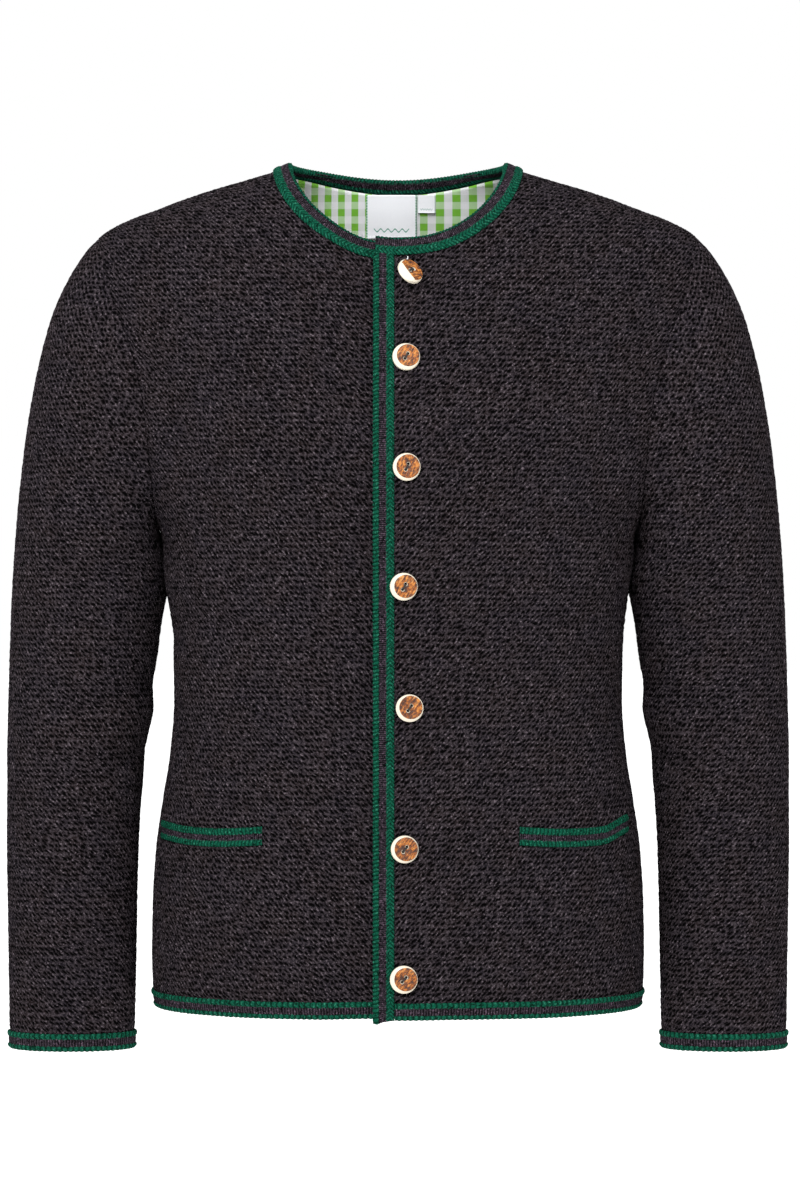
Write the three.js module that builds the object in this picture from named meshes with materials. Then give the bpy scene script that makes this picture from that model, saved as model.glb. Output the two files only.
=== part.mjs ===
// A knitted trachten jacket, filled out as it is worn, with nobody in it.
// Millimetres, +Z up, the front faces -Y, and +X is the wearer's left.
// The origin lies midway between the two shoulders, level with the top of the neck band.
import * as THREE from "three";

// Cloth and seams
const KNIT = 2.4; // wall of the knitted panels
const SEAM = 0.3; // gap between two pieces that are sewn together
const TRIM = 1.2; // wall of the folded trim
const FOLD_GAP = 0.55; // between the trim and the cloth that it is folded over
const BEAD = 0.7; // how far the trim's coloured edges stand above its middle
const LINING = 1;
const LINING_GAP = 0.9; // it hangs just off the knit
const LABEL = 0.6;

// Levels, from the hem up to the neck
const HEM_Z = -677.4;
const UNDERARM_Z = -300;
const SHOULDER_TIP_Z = -58.5;
const NECK = { halfWidth: 87.4, frontZ: -68.4, backZ: -7, frontCurve: 1.2, backCurve: 4 };
const NECK_TRIM = { width: 15.6, lip: 10.6 };
const FRONT_TRIM = { width: 14.8, lip: 10.6 };
const HEM_TRIM = { width: 13.6, lip: 10 };
const CUFF_TRIM = { width: 13.6, lip: 10 };

// The fronts overlap by this much past the centre line; the wearer's left front lies on top
const OVERLAP = 17.8;
const LEFT_FRONT_RISE = { rise: 2.6, full: 4, gone: 46 };
const RIGHT_FRONT_RISE = { rise: -5.7, full: 24, gone: 64 };

// Level sections of the body, at the outside of the cloth
const ROUNDNESS = 2.3;
const BODY = [
  { z: -677.4, halfWidth: 195, front: 127, back: 117 },
  { z: -662, halfWidth: 197.6, front: 128, back: 118 },
  { z: -636, halfWidth: 198.4, front: 127, back: 117 },
  { z: -595, halfWidth: 197.8, front: 124, back: 115 },
  { z: -555, halfWidth: 195.4, front: 121, back: 112 },
  { z: -514, halfWidth: 189.8, front: 118, back: 108 },
  { z: -474, halfWidth: 183.6, front: 116, back: 104 },
  { z: -433, halfWidth: 180.6, front: 116, back: 102 },
  { z: -393, halfWidth: 181.2, front: 118, back: 106 },
  { z: -352, halfWidth: 185.4, front: 122, back: 112 },
  { z: -300, halfWidth: 191, front: 126, back: 120 },
  { z: -285, halfWidth: 197.5, front: 127, back: 122 },
  { z: -260, halfWidth: 208, front: 127, back: 125 },
  { z: -231, halfWidth: 218, front: 125, back: 127 },
  { z: -200, halfWidth: 227, front: 120, back: 127 },
  { z: -150, halfWidth: 242, front: 108, back: 121 },
  { z: -130, halfWidth: 248, front: 102, back: 115.5 },
  { z: -110, halfWidth: 252.5, front: 95, back: 109 },
  { z: -95, halfWidth: 253.8, front: 89.5, back: 103.5 },
  { z: -78, halfWidth: 251.8, front: 82, back: 96 },
  { z: -67, halfWidth: 247.4, front: 76.5, back: 91 },
  { z: -58.5, halfWidth: 240.5, front: 72.5, back: 87.5 },
  { z: -52.4, halfWidth: 231.8, front: 69.5, back: 84.5 },
  { z: -45.2, halfWidth: 217, front: 65.5, back: 81 },
  { z: -37.4, halfWidth: 196, front: 61.5, back: 77 },
  { z: -29.4, halfWidth: 175, front: 57.5, back: 73 },
  { z: -21, halfWidth: 150, front: 53, back: 69 },
  { z: -12.6, halfWidth: 121, front: 48, back: 65 },
  { z: -7.4, halfWidth: 104, front: 45.5, back: 62.5 },
  { z: -3, halfWidth: 95, front: 43.5, back: 61 },
  { z: 0.4, halfWidth: 87, front: 42, back: 60 },
];

// The armhole seam, seen from the front and from behind
const ARMHOLE = [
  { z: -300, frontX: 191, backX: 191 },
  { z: -290, frontX: 193.5, backX: 194.6 },
  { z: -272, frontX: 195.5, backX: 199.5 },
  { z: -245, frontX: 197.5, backX: 205.5 },
  { z: -200, frontX: 202.5, backX: 213 },
  { z: -157, frontX: 212, backX: 220.5 },
  { z: -122, frontX: 223.5, backX: 228 },
  { z: -95, frontX: 232.5, backX: 234 },
  { z: -74, frontX: 238.2, backX: 238.6 },
  { z: -58.5, frontX: 240.5, backX: 240.5 },
];

// Sections of the sleeve, from the armhole to the cuff: its outer and inner edge seen from the front,
// half its depth, how far back its middle lies, and how much it still has of the armhole's own shape
const SLEEVE = [
  { outerX: 240.5, outerZ: -58.5, innerX: 191, innerZ: -300, depth: 57, back: 0, armhole: 1 },
  { outerX: 251, outerZ: -69.5, innerX: 190.8, innerZ: -301.5, depth: 59, back: 0, armhole: 0.85 },
  { outerX: 264.6, outerZ: -90, innerX: 190.3, innerZ: -305, depth: 61, back: 0, armhole: 0.65 },
  { outerX: 278, outerZ: -118, innerX: 189.6, innerZ: -309.5, depth: 63, back: 1, armhole: 0.45 },
  { outerX: 288.4, outerZ: -153, innerX: 188.7, innerZ: -315, depth: 64.5, back: 2, armhole: 0.28 },
  { outerX: 296.6, outerZ: -192, innerX: 187.8, innerZ: -321.5, depth: 65.5, back: 3, armhole: 0.14 },
  { outerX: 303.4, outerZ: -238, innerX: 186.8, innerZ: -330, depth: 65.5, back: 4, armhole: 0.05 },
  { outerX: 309.3, outerZ: -296, innerX: 187.4, innerZ: -343, depth: 64, back: 5, armhole: 0 },
  { outerX: 312.9, outerZ: -352, innerX: 192, innerZ: -368, depth: 61, back: 6, armhole: 0 },
  { outerX: 315.2, outerZ: -416, innerX: 198.4, innerZ: -420, depth: 58, back: 7, armhole: 0 },
  { outerX: 316.6, outerZ: -482, innerX: 206, innerZ: -483, depth: 55, back: 7, armhole: 0 },
  { outerX: 316.6, outerZ: -542, innerX: 210.4, innerZ: -540, depth: 51, back: 5, armhole: 0 },
  { outerX: 315.4, outerZ: -602, innerX: 211.8, innerZ: -599, depth: 46, back: 0, armhole: 0 },
  { outerX: 314, outerZ: -655, innerX: 212.2, innerZ: -652, depth: 41, back: -7, armhole: 0 },
  { outerX: 312.6, outerZ: -697, innerX: 212.6, innerZ: -694.5, depth: 37, back: -14, armhole: 0 },
  { outerX: 312, outerZ: -704, innerX: 213, innerZ: -701.5, depth: 36, back: -15, armhole: 0 },
  { outerX: 311.6, outerZ: -711, innerX: 213.2, innerZ: -708.5, depth: 35.4, back: -16, armhole: 0 },
];
const SLEEVE_CLEARANCE = 1.5; // between a sleeve and the side of the body that it hangs against

// Soft folds of the body: middle, half length, half width, tilt and how far the cloth rises
const BODY_FOLDS = [
  { face: -1, x: 150, z: -328, along: 62, across: 15, tilt: 14, rise: 2.6 },
  { face: -1, x: 160, z: -362, along: 54, across: 13, tilt: 8, rise: -2.2 },
  { face: -1, x: -152, z: -340, along: 60, across: 15, tilt: -12, rise: 2.4 },
  { face: -1, x: -160, z: -374, along: 52, across: 14, tilt: -6, rise: -2.2 },
  { face: -1, x: 178, z: -206, along: 74, across: 16, tilt: 72, rise: -3.2 },
  { face: -1, x: -176, z: -212, along: 70, across: 17, tilt: -70, rise: -3.4 },
  { face: -1, x: 128, z: -610, along: 80, across: 24, tilt: 84, rise: 2.2 },
  { face: -1, x: -120, z: -604, along: 76, across: 26, tilt: -80, rise: 2.4 },
  { face: 1, x: 60, z: -372, along: 84, across: 16, tilt: 10, rise: 2.8 },
  { face: 1, x: -52, z: -398, along: 90, across: 17, tilt: -8, rise: -2.6 },
  { face: 1, x: 120, z: -430, along: 66, across: 15, tilt: 14, rise: -2.4 },
  { face: 1, x: -128, z: -352, along: 62, across: 15, tilt: -16, rise: 2.4 },
  { face: 1, x: 176, z: -214, along: 78, across: 17, tilt: 74, rise: -3.4 },
  { face: 1, x: -178, z: -208, along: 74, across: 17, tilt: -74, rise: -3.2 },
];
// Soft folds of a sleeve: level, place round the arm in degrees from its outer edge, and size
const SLEEVE_FOLDS = [
  { z: -428, round: 128, along: 62, across: 13, slant: 0.18, rise: -3 },
  { z: -458, round: 118, along: 58, across: 12, slant: 0.26, rise: 2.2 },
  { z: -486, round: 132, along: 54, across: 12, slant: 0.2, rise: -2.6 },
  { z: -452, round: 226, along: 60, across: 14, slant: -0.2, rise: 2.4 },
  { z: -330, round: 112, along: 48, across: 13, slant: 0.5, rise: -2.4 },
  { z: -322, round: 248, along: 50, across: 14, slant: -0.5, rise: -2.4 },
  { z: -640, round: 96, along: 44, across: 14, slant: 0.12, rise: -1.8 },
  { z: -620, round: 262, along: 46, across: 15, slant: -0.14, rise: 1.8 },
];

// Pockets: a welt on each front, and the mouth that dips in above it
const POCKET = {
  left: { from: 95, to: 187 },
  right: { from: 106, to: 189 },
  bottomZ: -544,
  height: 18,
  mouthZ: -517,
  mouthDip: 3.4,
  mouthHalfHeight: 7,
  fade: 12,
};

// Buttons down the centre front, each a little off its line and turned its own way; fall is how far
// the cloth lies lower under a tilted button's edge than at its middle
const BUTTON = { radius: 10.8, thickness: 4.4, bevel: 0.8, sides: 22 };
const BUTTON_HOLE = { radius: 1, spacing: 5.2, sides: 8 };
const BUTTONS = [
  { x: 9, z: -92, turn: 40, nod: 20, sway: 14, fall: 1 },
  { x: 6.2, z: -161.4, turn: 62, nod: 1, sway: 6.5, fall: 0 },
  { x: 6.6, z: -248.4, turn: 66, nod: 1, sway: 6, fall: 0 },
  { x: 4.3, z: -341.9, turn: 60, nod: -1, sway: 7, fall: 0 },
  { x: 9, z: -436.4, turn: 56, nod: -1, sway: 2, fall: 0 },
  { x: 5, z: -545.9, turn: 52, nod: 1, sway: 6.5, fall: 0 },
  { x: 4.3, z: -646.7, turn: 48, nod: -1, sway: 7, fall: 0 },
];

const NECK_LABEL = { fromX: -26.5, toX: 15.5, drop: 32 };
const SIZE_LABEL = { fromX: 16.2, toX: 31.2, drop: 10.5 };
const HALF_MOON = { endRow: 31.3, middleRow: 27.6 }; // rows of the back's grid along the lining's lower edge

// Grid of the panels: rows from the hem up, columns from the centre out
const SIDE_LEVELS = [-634, -604, -574, -544, -526, -517, -500, -470, -440, -410, -380, -352, -326];
const HEM_ROWS = 2; // under the hem trim
const ARMHOLE_ROWS = 11;
const SHOULDER_ROWS = 5;
const NECK_ROWS = 3; // under the neck trim
const UNDERARM_ROW = HEM_ROWS + SIDE_LEVELS.length + 1;
const NECK_TRIM_ROW = UNDERARM_ROW + ARMHOLE_ROWS + SHOULDER_ROWS;
const TOP_ROW = NECK_TRIM_ROW + NECK_ROWS;
const TRIM_COLUMNS = 2; // under the front trim
const FRONT_COLUMNS = 10; // between the front trim and the side
const BACK_COLUMNS = 10; // in each half of the back
const CUFF_ROWS = 2; // under the cuff trim

const COLOURS = {
  knit: new THREE.Color(0x2e2a2c),
  trim: new THREE.Color(0x0f5a40),
  horn: new THREE.Color(0x8a5a34),
  lining: new THREE.Color(0xa9cf78),
  label: new THREE.Color(0xe9ebea),
};

const clamp01 = (u) => Math.min(1, Math.max(0, u));
const smooth = (u) => clamp01(u) ** 2 * (3 - 2 * clamp01(u));
const mix = (a, b, u) => a + (b - a) * u;
const radians = THREE.MathUtils.degToRad;

// A smooth curve through one column of a table that keeps its rises and falls
function curveThrough(table, along, key) {
  const x = table.map((row) => row[along]);
  const y = table.map((row) => row[key]);
  const slope = x.slice(1).map((_, i) => (y[i + 1] - y[i]) / (x[i + 1] - x[i]));
  const tangent = x.map((_, i) => {
    if (i === 0 || i === x.length - 1) return slope[Math.min(i, slope.length - 1)];
    const [before, after] = [slope[i - 1], slope[i]];
    return before * after <= 0 ? 0 : (2 * before * after) / (before + after);
  });
  return (at) => {
    let i = 0;
    while (i < x.length - 2 && at > x[i + 1]) i += 1;
    const span = x[i + 1] - x[i];
    const u = (at - x[i]) / span;
    if (u < 0) return y[0] + tangent[0] * (at - x[0]);
    if (u > 1) return y[i + 1] + tangent[i + 1] * (at - x[i + 1]);
    const stay = y[i] * (1 + 2 * u) * (1 - u) ** 2 + y[i + 1] * u * u * (3 - 2 * u);
    return stay + span * (tangent[i] * u * (1 - u) ** 2 - tangent[i + 1] * u * u * (1 - u));
  };
}

const halfWidth = curveThrough(BODY, "z", "halfWidth");
const frontDepth = curveThrough(BODY, "z", "front");
const backDepth = curveThrough(BODY, "z", "back");
const depthOf = (face, z) => (face < 0 ? frontDepth(z) : backDepth(z));

// The level at which the shoulder's ridge is this far from the middle
function ridgeZ(x) {
  let [low, high] = [SHOULDER_TIP_Z, BODY[BODY.length - 1].z];
  for (let step = 0; step < 40; step += 1) {
    const middle = (low + high) / 2;
    if (halfWidth(middle) > x) low = middle;
    else high = middle;
  }
  return (low + high) / 2;
}

// A soft mound or hollow: 1 in its middle, fading over its half length and half width
function bump(along, across, fold) {
  return fold.rise * Math.exp(-((along / fold.along) ** 2) - (across / fold.across) ** 2);
}

function pocketMouth(x, z) {
  const pocket = x > 0 ? POCKET.left : POCKET.right;
  const from = Math.abs(x) - pocket.from;
  const to = pocket.to - Math.abs(x);
  const along = smooth(from / POCKET.fade) * smooth(to / POCKET.fade);
  return -POCKET.mouthDip * along * Math.exp(-(((z - POCKET.mouthZ) / POCKET.mouthHalfHeight) ** 2));
}

function bodyFold(x, z, face) {
  let rise = face < 0 ? pocketMouth(x, z) : 0;
  for (const fold of BODY_FOLDS) {
    if (fold.face !== face) continue;
    const [cos, sin] = [Math.cos(radians(fold.tilt)), Math.sin(radians(fold.tilt))];
    const [dx, dz] = [x - fold.x, z - fold.z];
    rise += bump(dx * cos + dz * sin, dz * cos - dx * sin, fold);
  }
  return rise;
}

// A place on the body's cloth and the way out of it. x runs from the centre line to the side of the
// wearer's left, and mirror -1 turns it over to the right. lift is how the overlapping fronts part.
function bodyPlace(x, z, face, mirror, lift) {
  const [a, b] = [halfWidth(z), depthOf(face, z)];
  const step = 0.5;
  const widening = (halfWidth(z + step) - halfWidth(z - step)) / (2 * step);
  const deepening = (depthOf(face, z + step) - depthOf(face, z - step)) / (2 * step);
  const side = Math.min(1, Math.abs(x) / a);
  const depth = (1 - side ** ROUNDNESS) ** (1 / ROUNDNESS);
  const out = new THREE.Vector3(
    (mirror * Math.sign(x) * side ** (ROUNDNESS - 1)) / a,
    (face * depth ** (ROUNDNESS - 1)) / b,
    (-(side ** ROUNDNESS) * widening) / a - (depth ** ROUNDNESS * deepening) / b,
  ).normalize();
  const parted = lift ? lift.rise * smooth((lift.gone - x) / (lift.gone - lift.full)) : 0;
  const place = new THREE.Vector3(mirror * x, face * b * depth, z);
  return { place: place.addScaledVector(out, parted + bodyFold(mirror * x, z, face)), out };
}

// The neckline and the lines parallel to it, r below it; turn is 0 at the centre and 1 at the shoulder
function neckLine(turn, r, face) {
  const reach = NECK.halfWidth + r;
  const top = ridgeZ(reach);
  const bottom = (face < 0 ? NECK.frontZ : NECK.backZ) - r;
  const curve = face < 0 ? NECK.frontCurve : NECK.backCurve;
  const cos = Math.max(0, Math.cos((turn * Math.PI) / 2));
  return { x: reach * Math.sin((turn * Math.PI) / 2), z: top - (top - bottom) * cos ** curve };
}

// The armhole seam, from the underarm at 0 to the tip of the shoulder at 1
const armholeX = { "-1": curveThrough(ARMHOLE, "z", "frontX"), 1: curveThrough(ARMHOLE, "z", "backX") };
function armholeLine(share, face) {
  const z = mix(UNDERARM_Z, SHOULDER_TIP_Z, (1 - Math.cos(share * Math.PI)) / 2);
  return { x: Math.min(armholeX[face](z), halfWidth(z)), z };
}

// The side of a panel's upper part: up the armhole, then along the shoulder to the neck trim
function upperSide(row, face) {
  if (row <= ARMHOLE_ROWS) return armholeLine(row / ARMHOLE_ROWS, face);
  const inwards = (row - ARMHOLE_ROWS) / SHOULDER_ROWS;
  const x = mix(halfWidth(SHOULDER_TIP_Z), NECK.halfWidth + NECK_TRIM.width, inwards);
  return { x, z: ridgeZ(x) };
}

// Divides a line on the body evenly; line turns 0 to 1 into x and z. Gives the shares where it is cut.
function evenShares(line, columns, face) {
  const steps = 120;
  const places = Array.from({ length: steps + 1 }, (_, k) => {
    const { x, z } = line(k / steps);
    return bodyPlace(x, z, face, 1).place;
  });
  const run = [0];
  for (let k = 1; k <= steps; k += 1) run.push(run[k - 1] + places[k].distanceTo(places[k - 1]));
  return Array.from({ length: columns + 1 }, (_, j) => {
    const goal = (run[steps] * j) / columns;
    const k = Math.max(1, run.findIndex((length) => length >= goal - 1e-6));
    return (k - 1 + (goal - run[k - 1]) / (run[k] - run[k - 1])) / steps;
  });
}

// Where half a panel's grid lies, from its centre edge at x = start to its side, hem first
function halfPanel(start, columns, face) {
  const level = (z) => (share) => ({
    x: mix(start, halfWidth(z), Math.sin((share * Math.PI) / 2) ** (2 / ROUNDNESS)),
    z,
  });
  const startTurn = (Math.asin(start / NECK.halfWidth) * 2) / Math.PI;
  const neckRow = (r) => (share) => neckLine(mix(startTurn, 1, share), r, face);
  const [bottom, top] = [level(UNDERARM_Z), neckRow(NECK_TRIM.width)];
  const upper = ARMHOLE_ROWS + SHOULDER_ROWS;
  const between = (row) => (share) => {
    const up = row / upper;
    const [low, high, side] = [bottom(share), top(share), upperSide(row, face)];
    const [lowStart, lowEnd, highStart, highEnd] = [bottom(0), bottom(1), top(0), top(1)];
    const blend = (key) => mix(low[key], high[key], up) +
      mix(mix(lowStart[key], highStart[key], up), side[key], share) -
      mix(mix(lowStart[key], lowEnd[key], share), mix(highStart[key], highEnd[key], share), up);
    return { x: blend("x"), z: blend("z") };
  };
  const hem = Array.from({ length: HEM_ROWS + 1 }, (_, i) => HEM_Z + (HEM_TRIM.width * i) / HEM_ROWS);
  const lines = [...hem, ...SIDE_LEVELS, UNDERARM_Z].map(level);
  for (let row = 1; row < upper; row += 1) lines.push(between(row));
  const neckShares = evenShares(neckRow(0), columns, face);
  const neckLines = Array.from({ length: NECK_ROWS + 1 }, (_, i) => 1 - i / NECK_ROWS).map((share) =>
    neckShares.map(neckRow(share * NECK_TRIM.width)));
  return [...lines.map((line) => evenShares(line, columns, face).map(line)), ...neckLines];
}

// The grid's places on the body; the sides and shoulders stand half a seam back from their neighbour
function onBody(line, row, face, mirror, lift) {
  return line.map(({ x, z }, j) => {
    const found = bodyPlace(x, z, face, mirror, lift);
    const onArmhole = row > UNDERARM_ROW && row < UNDERARM_ROW + ARMHOLE_ROWS;
    if (j === line.length - 1 && !onArmhole) found.place.y += (face * SEAM) / 2;
    return found;
  });
}

// A front: the columns under its trim or overlap, then the grid out to its side
function frontPanel(mirror, lift) {
  const start = FRONT_TRIM.width - OVERLAP;
  return halfPanel(start, FRONT_COLUMNS, -1).map((line, row) => {
    const r = (Math.max(0, TOP_ROW - row) * NECK_TRIM.width) / NECK_ROWS;
    const underTrim = Array.from({ length: TRIM_COLUMNS }, (_, j) => {
      const x = mix(-OVERLAP, start, j / TRIM_COLUMNS);
      if (row < NECK_TRIM_ROW) return { x, z: line[0].z };
      return { x, z: neckLine((Math.asin(-x / (NECK.halfWidth + r)) * 2) / Math.PI, r, -1).z };
    });
    return onBody([...underTrim, ...line], row, -1, mirror, lift);
  });
}

function backPanel() {
  return halfPanel(0, BACK_COLUMNS, 1).map((line, row) => {
    const [left, right] = [1, -1].map((mirror) => onBody(line, row, 1, mirror));
    return [...left.reverse(), ...right.slice(1)];
  });
}

// A place h above a panel's outside, at a row and column that may lie between two
function onPanel(panel, row, column, h) {
  const i = Math.min(Math.floor(row), panel.length - 2);
  const j = Math.min(Math.floor(column), panel[0].length - 2);
  const [u, v] = [row - i, column - j];
  const at = (a, b) => panel[a][b].place.clone().addScaledVector(panel[a][b].out, h);
  return at(i, j).lerp(at(i, j + 1), v).lerp(at(i + 1, j).lerp(at(i + 1, j + 1), v), u);
}

function geometryOf(positions, index) {
  const geometry = new THREE.BufferGeometry();
  geometry.setAttribute("position", new THREE.Float32BufferAttribute(positions, 3));
  let volume = 0;
  const [a, b, c] = [new THREE.Vector3(), new THREE.Vector3(), new THREE.Vector3()];
  for (let i = 0; i < index.length; i += 3) {
    [a, b, c].forEach((v, k) => v.fromArray(positions, index[i + k] * 3));
    volume += a.dot(b.cross(c)) / 6;
  }
  const facingOut = [];
  for (let i = 0; i < index.length; i += 3) {
    const [p, q, r] = index.slice(i, i + 3);
    facingOut.push(...(volume < 0 ? [p, r, q] : [p, q, r]));
  }
  geometry.setIndex(facingOut);
  geometry.computeVertexNormals();
  return geometry;
}

// A wall between two grids of points, closed along its edges; closed joins its last column to the
// first. Each cell is cut along its shorter diagonal, so that it follows the cloth.
function wall(outer, inner, closed = false) {
  const [rows, columns] = [outer.length, outer[0].length];
  const positions = [...outer.flat(), ...inner.flat()].flatMap((p) => [p.x, p.y, p.z]);
  const index = [];
  const inside = rows * columns;
  const quad = (a, b, c, d, crossed) => index.push(...(crossed ? [a, b, c, b, d, c] : [a, b, d, a, d, c]));
  const lastColumn = closed ? columns : columns - 1;
  for (let i = 0; i < rows - 1; i += 1) {
    for (let j = 0; j < lastColumn; j += 1) {
      const after = (j + 1) % columns;
      const [a, b] = [i * columns + j, i * columns + after];
      const [c, d] = [a + columns, b + columns];
      const rising = outer[i][j].distanceTo(outer[i + 1][after]);
      const crossed = rising > outer[i][after].distanceTo(outer[i + 1][j]);
      quad(a, b, c, d, crossed);
      quad(inside + b, inside + a, inside + d, inside + c, !crossed);
    }
  }
  for (let j = 0; j < lastColumn; j += 1) {
    const after = (j + 1) % columns;
    const end = (rows - 1) * columns;
    quad(inside + j, inside + after, j, after);
    quad(end + j, end + after, inside + end + j, inside + end + after);
  }
  for (let i = 0; i < (closed ? 0 : rows - 1); i += 1) {
    const [a, b] = [i * columns, (i + 1) * columns];
    const edge = columns - 1;
    quad(inside + a, a, inside + b, b);
    quad(a + edge, inside + a + edge, b + edge, inside + b + edge);
  }
  return geometryOf(positions, index);
}

// A solid that sweeps a closed outline past stations, each of which turns (r, h) into a point.
// Capped at both ends, unless closed joins the last station to the first.
function swept(stations, outline, closed = false) {
  const loops = stations.map((station) => outline.map(([r, h]) => station(r, h)));
  const positions = loops.flat().flatMap((p) => [p.x, p.y, p.z]);
  const size = outline.length;
  const index = [];
  for (let i = 0; i < (closed ? loops.length : loops.length - 1); i += 1) {
    const [here, next] = [i * size, ((i + 1) % loops.length) * size];
    for (let k = 0; k < size; k += 1) {
      const after = (k + 1) % size;
      index.push(here + k, here + after, next + after, here + k, next + after, next + k);
    }
  }
  const caps = THREE.ShapeUtils.triangulateShape(outline.map(([r, h]) => new THREE.Vector2(r, h)), []);
  const outlineRuns = caps.flatMap(([a, b, c]) => [[a, b], [b, c], [c, a]]);
  const rising = outlineRuns.some(([a, b]) => b === a + 1);
  const end = (loops.length - 1) * size;
  for (const [a, b, c] of closed ? [] : caps) {
    const [first, second] = rising ? [c, b] : [b, c];
    index.push(a, first, second, end + a, end + second, end + first);
  }
  return geometryOf(positions, index);
}

// The folded trim's outline: r runs from the cloth's edge, h is above the cloth's outside.
// Its two raised borders are the coloured edges, the short leg folds over to the inside, and its
// underside follows the rows of the cloth's grid.
function trimOutline({ width, lip }, rows) {
  const top = FOLD_GAP + TRIM;
  const crest = top + BEAD;
  const under = -KNIT - FOLD_GAP;
  const underside = Array.from({ length: rows - 1 }, (_, i) => [(width * (i + 1)) / rows, FOLD_GAP]);
  return [
    [width, FOLD_GAP], [width, top], [width * 0.84, crest], [width * 0.68, top],
    [width * 0.34, top], [width * 0.16, crest], [-top * 0.6, top * 0.8],
    [-top, -KNIT / 2], [-top * 0.6, under - TRIM * 0.8], [lip, under - TRIM],
    [lip, under], [-FOLD_GAP, under], [-FOLD_GAP, FOLD_GAP], ...underside,
  ];
}

// A place r from a panel's edge and h above it, from the evenly spaced grid lines along that edge
function fromEdge(lines, width) {
  return (r, h) => {
    const at = ({ place, out }) => place.clone().addScaledVector(out, h);
    if (r < 0) {
      const away = lines[0].place.clone().sub(lines[1].place).normalize();
      return at(lines[0]).addScaledVector(away, -r);
    }
    const along = Math.min(r / width, 0.9999) * (lines.length - 1);
    const line = Math.floor(along);
    return at(lines[line]).lerp(at(lines[line + 1]), along - line);
  };
}

// The sleeve's cloth as a grid of rings, the armhole's first
function sleevePanel(mirror) {
  const around = 2 * ARMHOLE_ROWS;
  const ring = (section, k) => Array.from({ length: around }, (_, j) => {
    const face = j <= ARMHOLE_ROWS ? -1 : 1;
    const share = j <= ARMHOLE_ROWS ? 1 - j / ARMHOLE_ROWS : j / ARMHOLE_ROWS - 1;
    const place = sleeveOval(section, share, face);
    if (section.armhole > 0) {
      const { x, z } = armholeLine(share, face);
      const edge = bodyPlace(x, z, face, 1).place;
      place.addScaledVector(edge.sub(sleeveOval(SLEEVE[0], share, face)), section.armhole);
    }
    if (k > 0) clearOfBody(place, face);
    return place;
  });
  const rings = SLEEVE.map(ring);
  rings[0].forEach((place, j) => {
    place.addScaledVector(rings[1][j].clone().sub(place).normalize(), SEAM);
  });
  const grid = rings.map((places, k) => places.map((place, j) => {
    const before = rings[Math.max(0, k - 1)][j];
    const after = rings[Math.min(rings.length - 1, k + 1)][j];
    const down = after.clone().sub(before);
    const round = places[(j + 1) % around].clone().sub(places[(j + around - 1) % around]);
    return { place, out: round.cross(down).normalize() };
  }));
  return grid.map((places) => places.map(({ place, out }, j) => {
    const moved = place.clone().addScaledVector(out, sleeveFold(place.z, j / around));
    moved.x *= mirror;
    return { place: moved, out: new THREE.Vector3(out.x * mirror, out.y, out.z) };
  }));
}

function sleeveOval(section, share, face) {
  const cos = -Math.cos(share * Math.PI);
  const sin = Math.sin(share * Math.PI);
  return new THREE.Vector3(
    mix(section.innerX, section.outerX, (1 + cos) / 2),
    section.back + face * section.depth * sin,
    mix(section.innerZ, section.outerZ, (1 + cos) / 2),
  );
}

// Keeps a sleeve just off the side of the body
function clearOfBody(place, face) {
  const depth = Math.min(1, Math.abs(place.y) / depthOf(face, place.z));
  const side = halfWidth(place.z) * (1 - depth ** ROUNDNESS) ** (1 / ROUNDNESS);
  if (place.z < UNDERARM_Z) place.x = Math.max(place.x, side + SLEEVE_CLEARANCE);
}

function sleeveFold(z, turn) {
  let rise = 0;
  for (const fold of SLEEVE_FOLDS) {
    const angle = ((turn * 360 - fold.round + 540) % 360) - 180;
    rise += bump(angle, z - fold.z - fold.slant * angle, fold);
  }
  return rise;
}

const group = new THREE.Group();
const materials = Object.fromEntries(Object.entries(COLOURS).map(([name, color]) =>
  [name, new THREE.MeshStandardMaterial({ color, roughness: name === "horn" ? 0.45 : 0.9, metalness: 0 })]));

function add(name, geometry, material) {
  const mesh = new THREE.Mesh(geometry, materials[material]);
  mesh.name = name;
  group.add(mesh);
  return mesh;
}

const lift = (panel, h) =>
  panel.map((row) => row.map(({ place, out }) => place.clone().addScaledVector(out, h)));
const clothWall = (panel, closed) => wall(lift(panel, 0), lift(panel, -KNIT), closed);

// The knitted panels
const frontLeft = frontPanel(1, LEFT_FRONT_RISE);
const frontRight = frontPanel(-1, RIGHT_FRONT_RISE);
const back = backPanel();
const sleeves = { left: sleevePanel(1), right: sleevePanel(-1) };
add("front_left", clothWall(frontLeft), "knit");
add("front_right", clothWall(frontRight), "knit");
add("back", clothWall(back), "knit");
add("sleeve_left", clothWall(sleeves.left, true), "knit");
add("sleeve_right", clothWall(sleeves.right, true), "knit");

// The trim round the neck: along the left front, round the back, and along the right front
function neckTrim() {
  const station = (panel) => (_, j) =>
    fromEdge(Array.from({ length: NECK_ROWS + 1 }, (__, i) => panel[TOP_ROW - i][j]), NECK_TRIM.width);
  const along = (panel) => panel[0].map(station(panel));
  return swept([
    ...along(frontLeft).slice(0, -1),
    ...along(back),
    ...along(frontRight).slice(0, -1).reverse(),
  ], trimOutline(NECK_TRIM, NECK_ROWS));
}
add("neck_trim", neckTrim(), "trim");

// The trim down the edge of the front that lies on top, from the neck trim to the hem
function frontTrim() {
  const underNeckTrim = NECK_TRIM_ROW - 0.03;
  const rows = [...Array.from({ length: NECK_TRIM_ROW }, (_, row) => row), underNeckTrim];
  const lines = (row) => Array.from({ length: TRIM_COLUMNS + 1 }, (_, column) => ({
    place: onPanel(frontLeft, row, column, 0),
    out: frontLeft[Math.round(row)][column].out,
  }));
  return swept(rows.map((row) => fromEdge(lines(row), FRONT_TRIM.width)),
    trimOutline(FRONT_TRIM, TRIM_COLUMNS));
}
add("front_trim", frontTrim(), "trim");

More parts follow.
